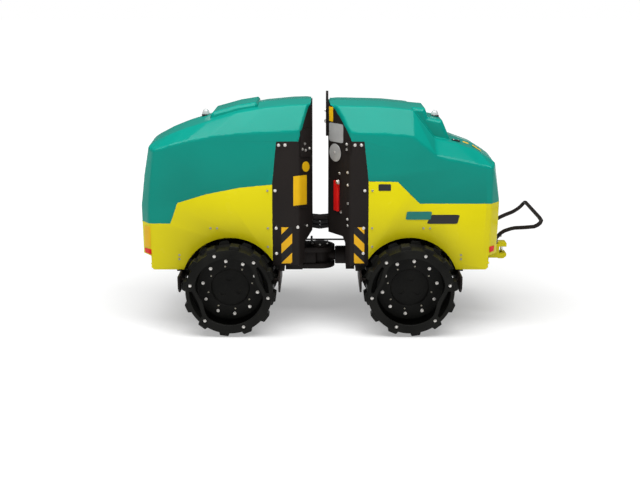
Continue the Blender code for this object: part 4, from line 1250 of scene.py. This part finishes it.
# %% Pin of the tow jaw, and bolts of the handle, lifting plate and bar
jaw_low, jaw_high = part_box("tow_hitch")
pin_place = Vector((jaw_high.x - 0.022, 0.0, 0.0))
pin_profile = [
    (jaw_low.z + 0.006, 0.0),
    (jaw_low.z + 0.006, 0.007),
    (jaw_low.z + 0.009, 0.009),
    (jaw_high.z - 0.004, 0.009),
    (jaw_high.z - 0.004, 0.0),
]
turned_part("tow_pin", pin_profile, pin_place, 32, 2, bright_steel, "rear", "bright_steel")
plate_places = [from_outside((PIN_X - 0.3, 0.0, z), (1, 0, 0), "lifting_plate") for z in (1.134, 1.196)]
set_bolts("lifting_plate_bolts", 0.0085, plate_places, "rear")
set_bolts("lock_bar_knob", 0.0105, [seen_at(338.0, 182.0, "lock_bar")], "rear")
bow_places = []
for y in (-0.135, 0.135):
    for z in (0.472, 0.502):
        bow_places.append(from_outside((1.4, y, z), (-1, 0, 0), "handle_bow"))
set_bolts("handle_bolts", 0.0050, bow_places, "rear")
print("handle bolts:", len(bow_places), "lifting plate bolts:", len(plate_places))

# %% [markdown]
# ## Fittings beside the gap
# The front chamfer carries a hinge plate with four bolts. The rear one has its own small
# plate, and a round dial with a pale face. They are thick plates with eased edges, and their
# bolts stand on them.

# %% Hinge plates, dial and latch
HINGE_PLATES = {
    "front": [(300.0, 130.5), (309.6, 127.5), (309.6, 156.5), (300.0, 157.5)],
    "rear": [(345.3, 140.5), (351.0, 142.0), (351.0, 153.0), (345.3, 152.0)],
}
HINGE_BOLTS = {
    "front": [(303.8, 143.6), (301.6, 149.1), (308.4, 148.2), (304.6, 150.2)],
    "rear": [(347.5, 144.2), (347.5, 149.3)],
}
PLATE_THICKNESS = 0.005


def standing_on(thickness, pixels, node):
    """Places of bolts on a plate of this thickness, by what the photograph shows."""
    return [(p + n * thickness, n) for p, n in (seen_at(x, y, node) for x, y in pixels)]


for half, pixels in HINGE_PLATES.items():
    cheek = f"{half}_cheek_left"
    corners = seen_corners(rounded_corners(pixels, 0.08), cheek)
    for side, there in (("left", corners), ("right", mirrored_places(corners))):
        name = f"{half}_hinge_plate_{side}"
        sticker(name, there, black_coat, half, "black_paint", thickness=PLATE_THICKNESS)
    places = standing_on(PLATE_THICKNESS, HINGE_BOLTS[half], cheek)
    set_bolts(f"{half}_hinge_bolts", 0.0062, places + mirrored_places(places), half)
ledge_pixels = [(294.0, 208.0), (308.7, 206.6), (308.7, 207.4), (294.0, 208.8)]
ledge = seen_corners(ledge_pixels, "front_cheek_left")
sticker("front_ledge", ledge, black_coat, "front", "black_paint", thickness=0.004)

DIAL = (335.7, 152.5)
DIAL_THICKNESS = 0.006
dial_face = disc_around(*DIAL, 0.049, "rear_cheek_left")
sticker("dial_face", dial_face, plate_grey, "rear", "bright_steel", thickness=DIAL_THICKNESS)
dial_rim = disc_around(*DIAL, 0.051, "rear_cheek_left")
sticker("dial_back", dial_rim, black_coat, "rear", "black_paint", thickness=0.003)
set_bolts("dial_bolt", 0.0060, standing_on(DIAL_THICKNESS, [DIAL], "rear_cheek_left"), "rear")

latch = patch_around(455.7, 140.8, 0.024, 0.013, "rear_hood", share=0.3, steps=5)
sticker("rear_hood_latch", latch, rubber, "rear_hood", "black_paint", thickness=PLATE_THICKNESS)
latch_bolts = standing_on(PLATE_THICKNESS, [(453.4, 140.4), (458.2, 141.2)], "rear_hood")
set_bolts("rear_hood_latch_bolts", 0.0035, latch_bolts, "rear_hood")
print("hinge plates:", 2 * len(HINGE_PLATES))

# %% [markdown]
# ## Across the gap
# Hydraulic hoses and a thin line cross between the halves. Each is made of two lengths that meet at
# the steering pin: one runs between the front half and the knuckle, the other between
# the knuckle and the rear half. One length couldn't bend about both joints.


# %% Hoses parted at the steering pin
def at_depth(x, y, depth):
    """Where the line of sight through a pixel crosses the plane at this Y."""
    ray = sight(x, y)
    return camera.location + ray * ((depth - camera.location.y) / ray.y)


GAP_HALF = 0.045  # from the pin to either half's bulkhead


def crossing(name, points, radius, material):
    """A hose through the points, parted where it crosses the pin's plane."""
    nearest = min(range(len(points)), key=lambda i: abs(points[i].x - PIN_X))
    points[nearest].x = PIN_X
    first = pipe(f"{name}_front", points[: nearest + 1], radius)
    second = pipe(f"{name}_rear", points[nearest:], radius)
    for piece, pair, start, end in (
        (first, ("front", "knuckle"), PIN_X - GAP_HALF, PIN_X),
        (second, ("knuckle", "rear"), PIN_X, PIN_X + GAP_HALF),
    ):
        piece.data.materials.clear()
        piece.data.materials.append(material)
        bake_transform(piece)


# Columns: name, Y, picture height at the front end, middle and rear end, radius
HOSES = [
    ("hose_upper", 0.030, 215.2, 216.0, 215.2, 0.0110),
    ("hose_middle", 0.058, 218.8, 219.8, 218.8, 0.0110),
    ("hose_far", 0.086, 222.4, 223.6, 222.4, 0.0110),
    ("hose_low", 0.030, 225.6, 227.0, 225.6, 0.0110),
    ("hose_near", -0.010, 221.0, 223.0, 221.0, 0.0080),
]
for name, depth, front_y, middle_y, rear_y, radius in HOSES:
    heights = (front_y, (front_y + middle_y) / 2, middle_y, (rear_y + middle_y) / 2, rear_y)
    pixels = zip((311.2, 316.0, 320.0, 324.0, 329.2), heights)
    crossing(name, [at_depth(x, y, depth) for x, y in pixels], radius, rubber)
LINE_Y = -0.070
line = [at_depth(x, 239.3, LINE_Y) for x in (303.8, 312.0, 320.0, 328.0, 336.0, 345.4)]
crossing("thin_line", line, 0.0050, black_coat)
disc_place = at_depth(310.6, 239.3, LINE_Y)
disc_x = disc_place.x
disc_profile = [
    (disc_x, 0.0),
    (disc_x, 0.019),
    (disc_x + 0.002, 0.021),
    (disc_x + 0.010, 0.021),
    (disc_x + 0.012, 0.019),
    (disc_x + 0.012, 0.0),
]
turned_part("line_disc", disc_profile, disc_place, 36, 0, rubber, "front", "black_paint")
print("hoses:", len(HOSES) + 1)

# %% [markdown]
# ## Web, seal and pin cap
# The fork on the front half is closed behind the knuckle by a web, whose end is hollowed so that the
# knuckle can turn in it. A rubber seal lies round the knuckle's rolling shaft, and a cap with six
# bolts covers the steering pin. The web is a plate, and the other two are spun.

# %% Web in the fork and seal on the knuckle
WEB_BACK = -0.227  # a little inside the fork's root, where X counts from the machine's middle
WEB_TIP = -0.150
WEB_HALF_WIDTH = 0.075
WEB_LOW, WEB_HIGH = 0.318, 0.392
ARC = 0.068  # clear of the knuckle's round end
reach = math.acos((PIN_X - WEB_TIP) / ARC)
bends = [math.pi - reach + 2 * reach * k / 12 for k in range(13)]
outline = [(WEB_BACK, -WEB_HALF_WIDTH), (WEB_BACK, WEB_HALF_WIDTH), (WEB_TIP, WEB_HALF_WIDTH)]
outline += [(PIN_X + ARC * math.cos(bend), ARC * math.sin(bend)) for bend in bends]
outline += [(WEB_TIP, -WEB_HALF_WIDTH)]
web = plate("fork_web", outline, WEB_LOW, WEB_HIGH, axis=2)
bevel(web, 0.0015, 2, 60)
smooth(web, 40)
wear(web, black_coat, "front", "black_paint")
seal_profile = [
    (-0.0385, 0.030),
    (-0.0385, 0.048),
    (-0.0375, 0.050),
    (-0.0345, 0.050),
    (-0.0335, 0.048),
    (-0.0335, 0.030),
]
SHAFT = Vector((0.0, 0.0, (WEB_LOW + WEB_HIGH) / 2))  # the rolling shaft lies at this height
turned_part("joint_seal", seal_profile, SHAFT, 48, 0, rubber, "knuckle", "black_paint")
print("web faces:", len(web.data.polygons), "shaft height:", round(SHAFT.z, 4))

# %% Cap of the steering pin
top, _ = from_outside((PIN_X + 0.075, 0.0, 1.0), (0, 0, -1), "front_frame")
# Height above the fork's top and radius
CAP = [
    (0.0002, 0.0),
    (0.0002, 0.064),
    (0.002, 0.066),
    (0.007, 0.066),
    (0.009, 0.063),
    (0.012, 0.030),
    (0.013, 0.0),
]
cap_profile = [(top.z + height, radius) for height, radius in CAP]
PIN = Vector((PIN_X, 0.0, 0.0))
turned_part("pin_cap", cap_profile, PIN, 48, 2, black_coat, "front", "black_paint")
cap_bolts = []
for k in range(6):
    angle = math.radians(30 + 60 * k)
    spot = (PIN_X + 0.050 * math.cos(angle), 0.050 * math.sin(angle), top.z + 0.0095)
    cap_bolts.append((spot, (0, 0, 1)))
set_bolts("pin_cap_bolts", 0.0060, cap_bolts, "front")
print("fork's top:", round(top.z, 4), "cap's top:", round(cap_profile[-1][0], 4))
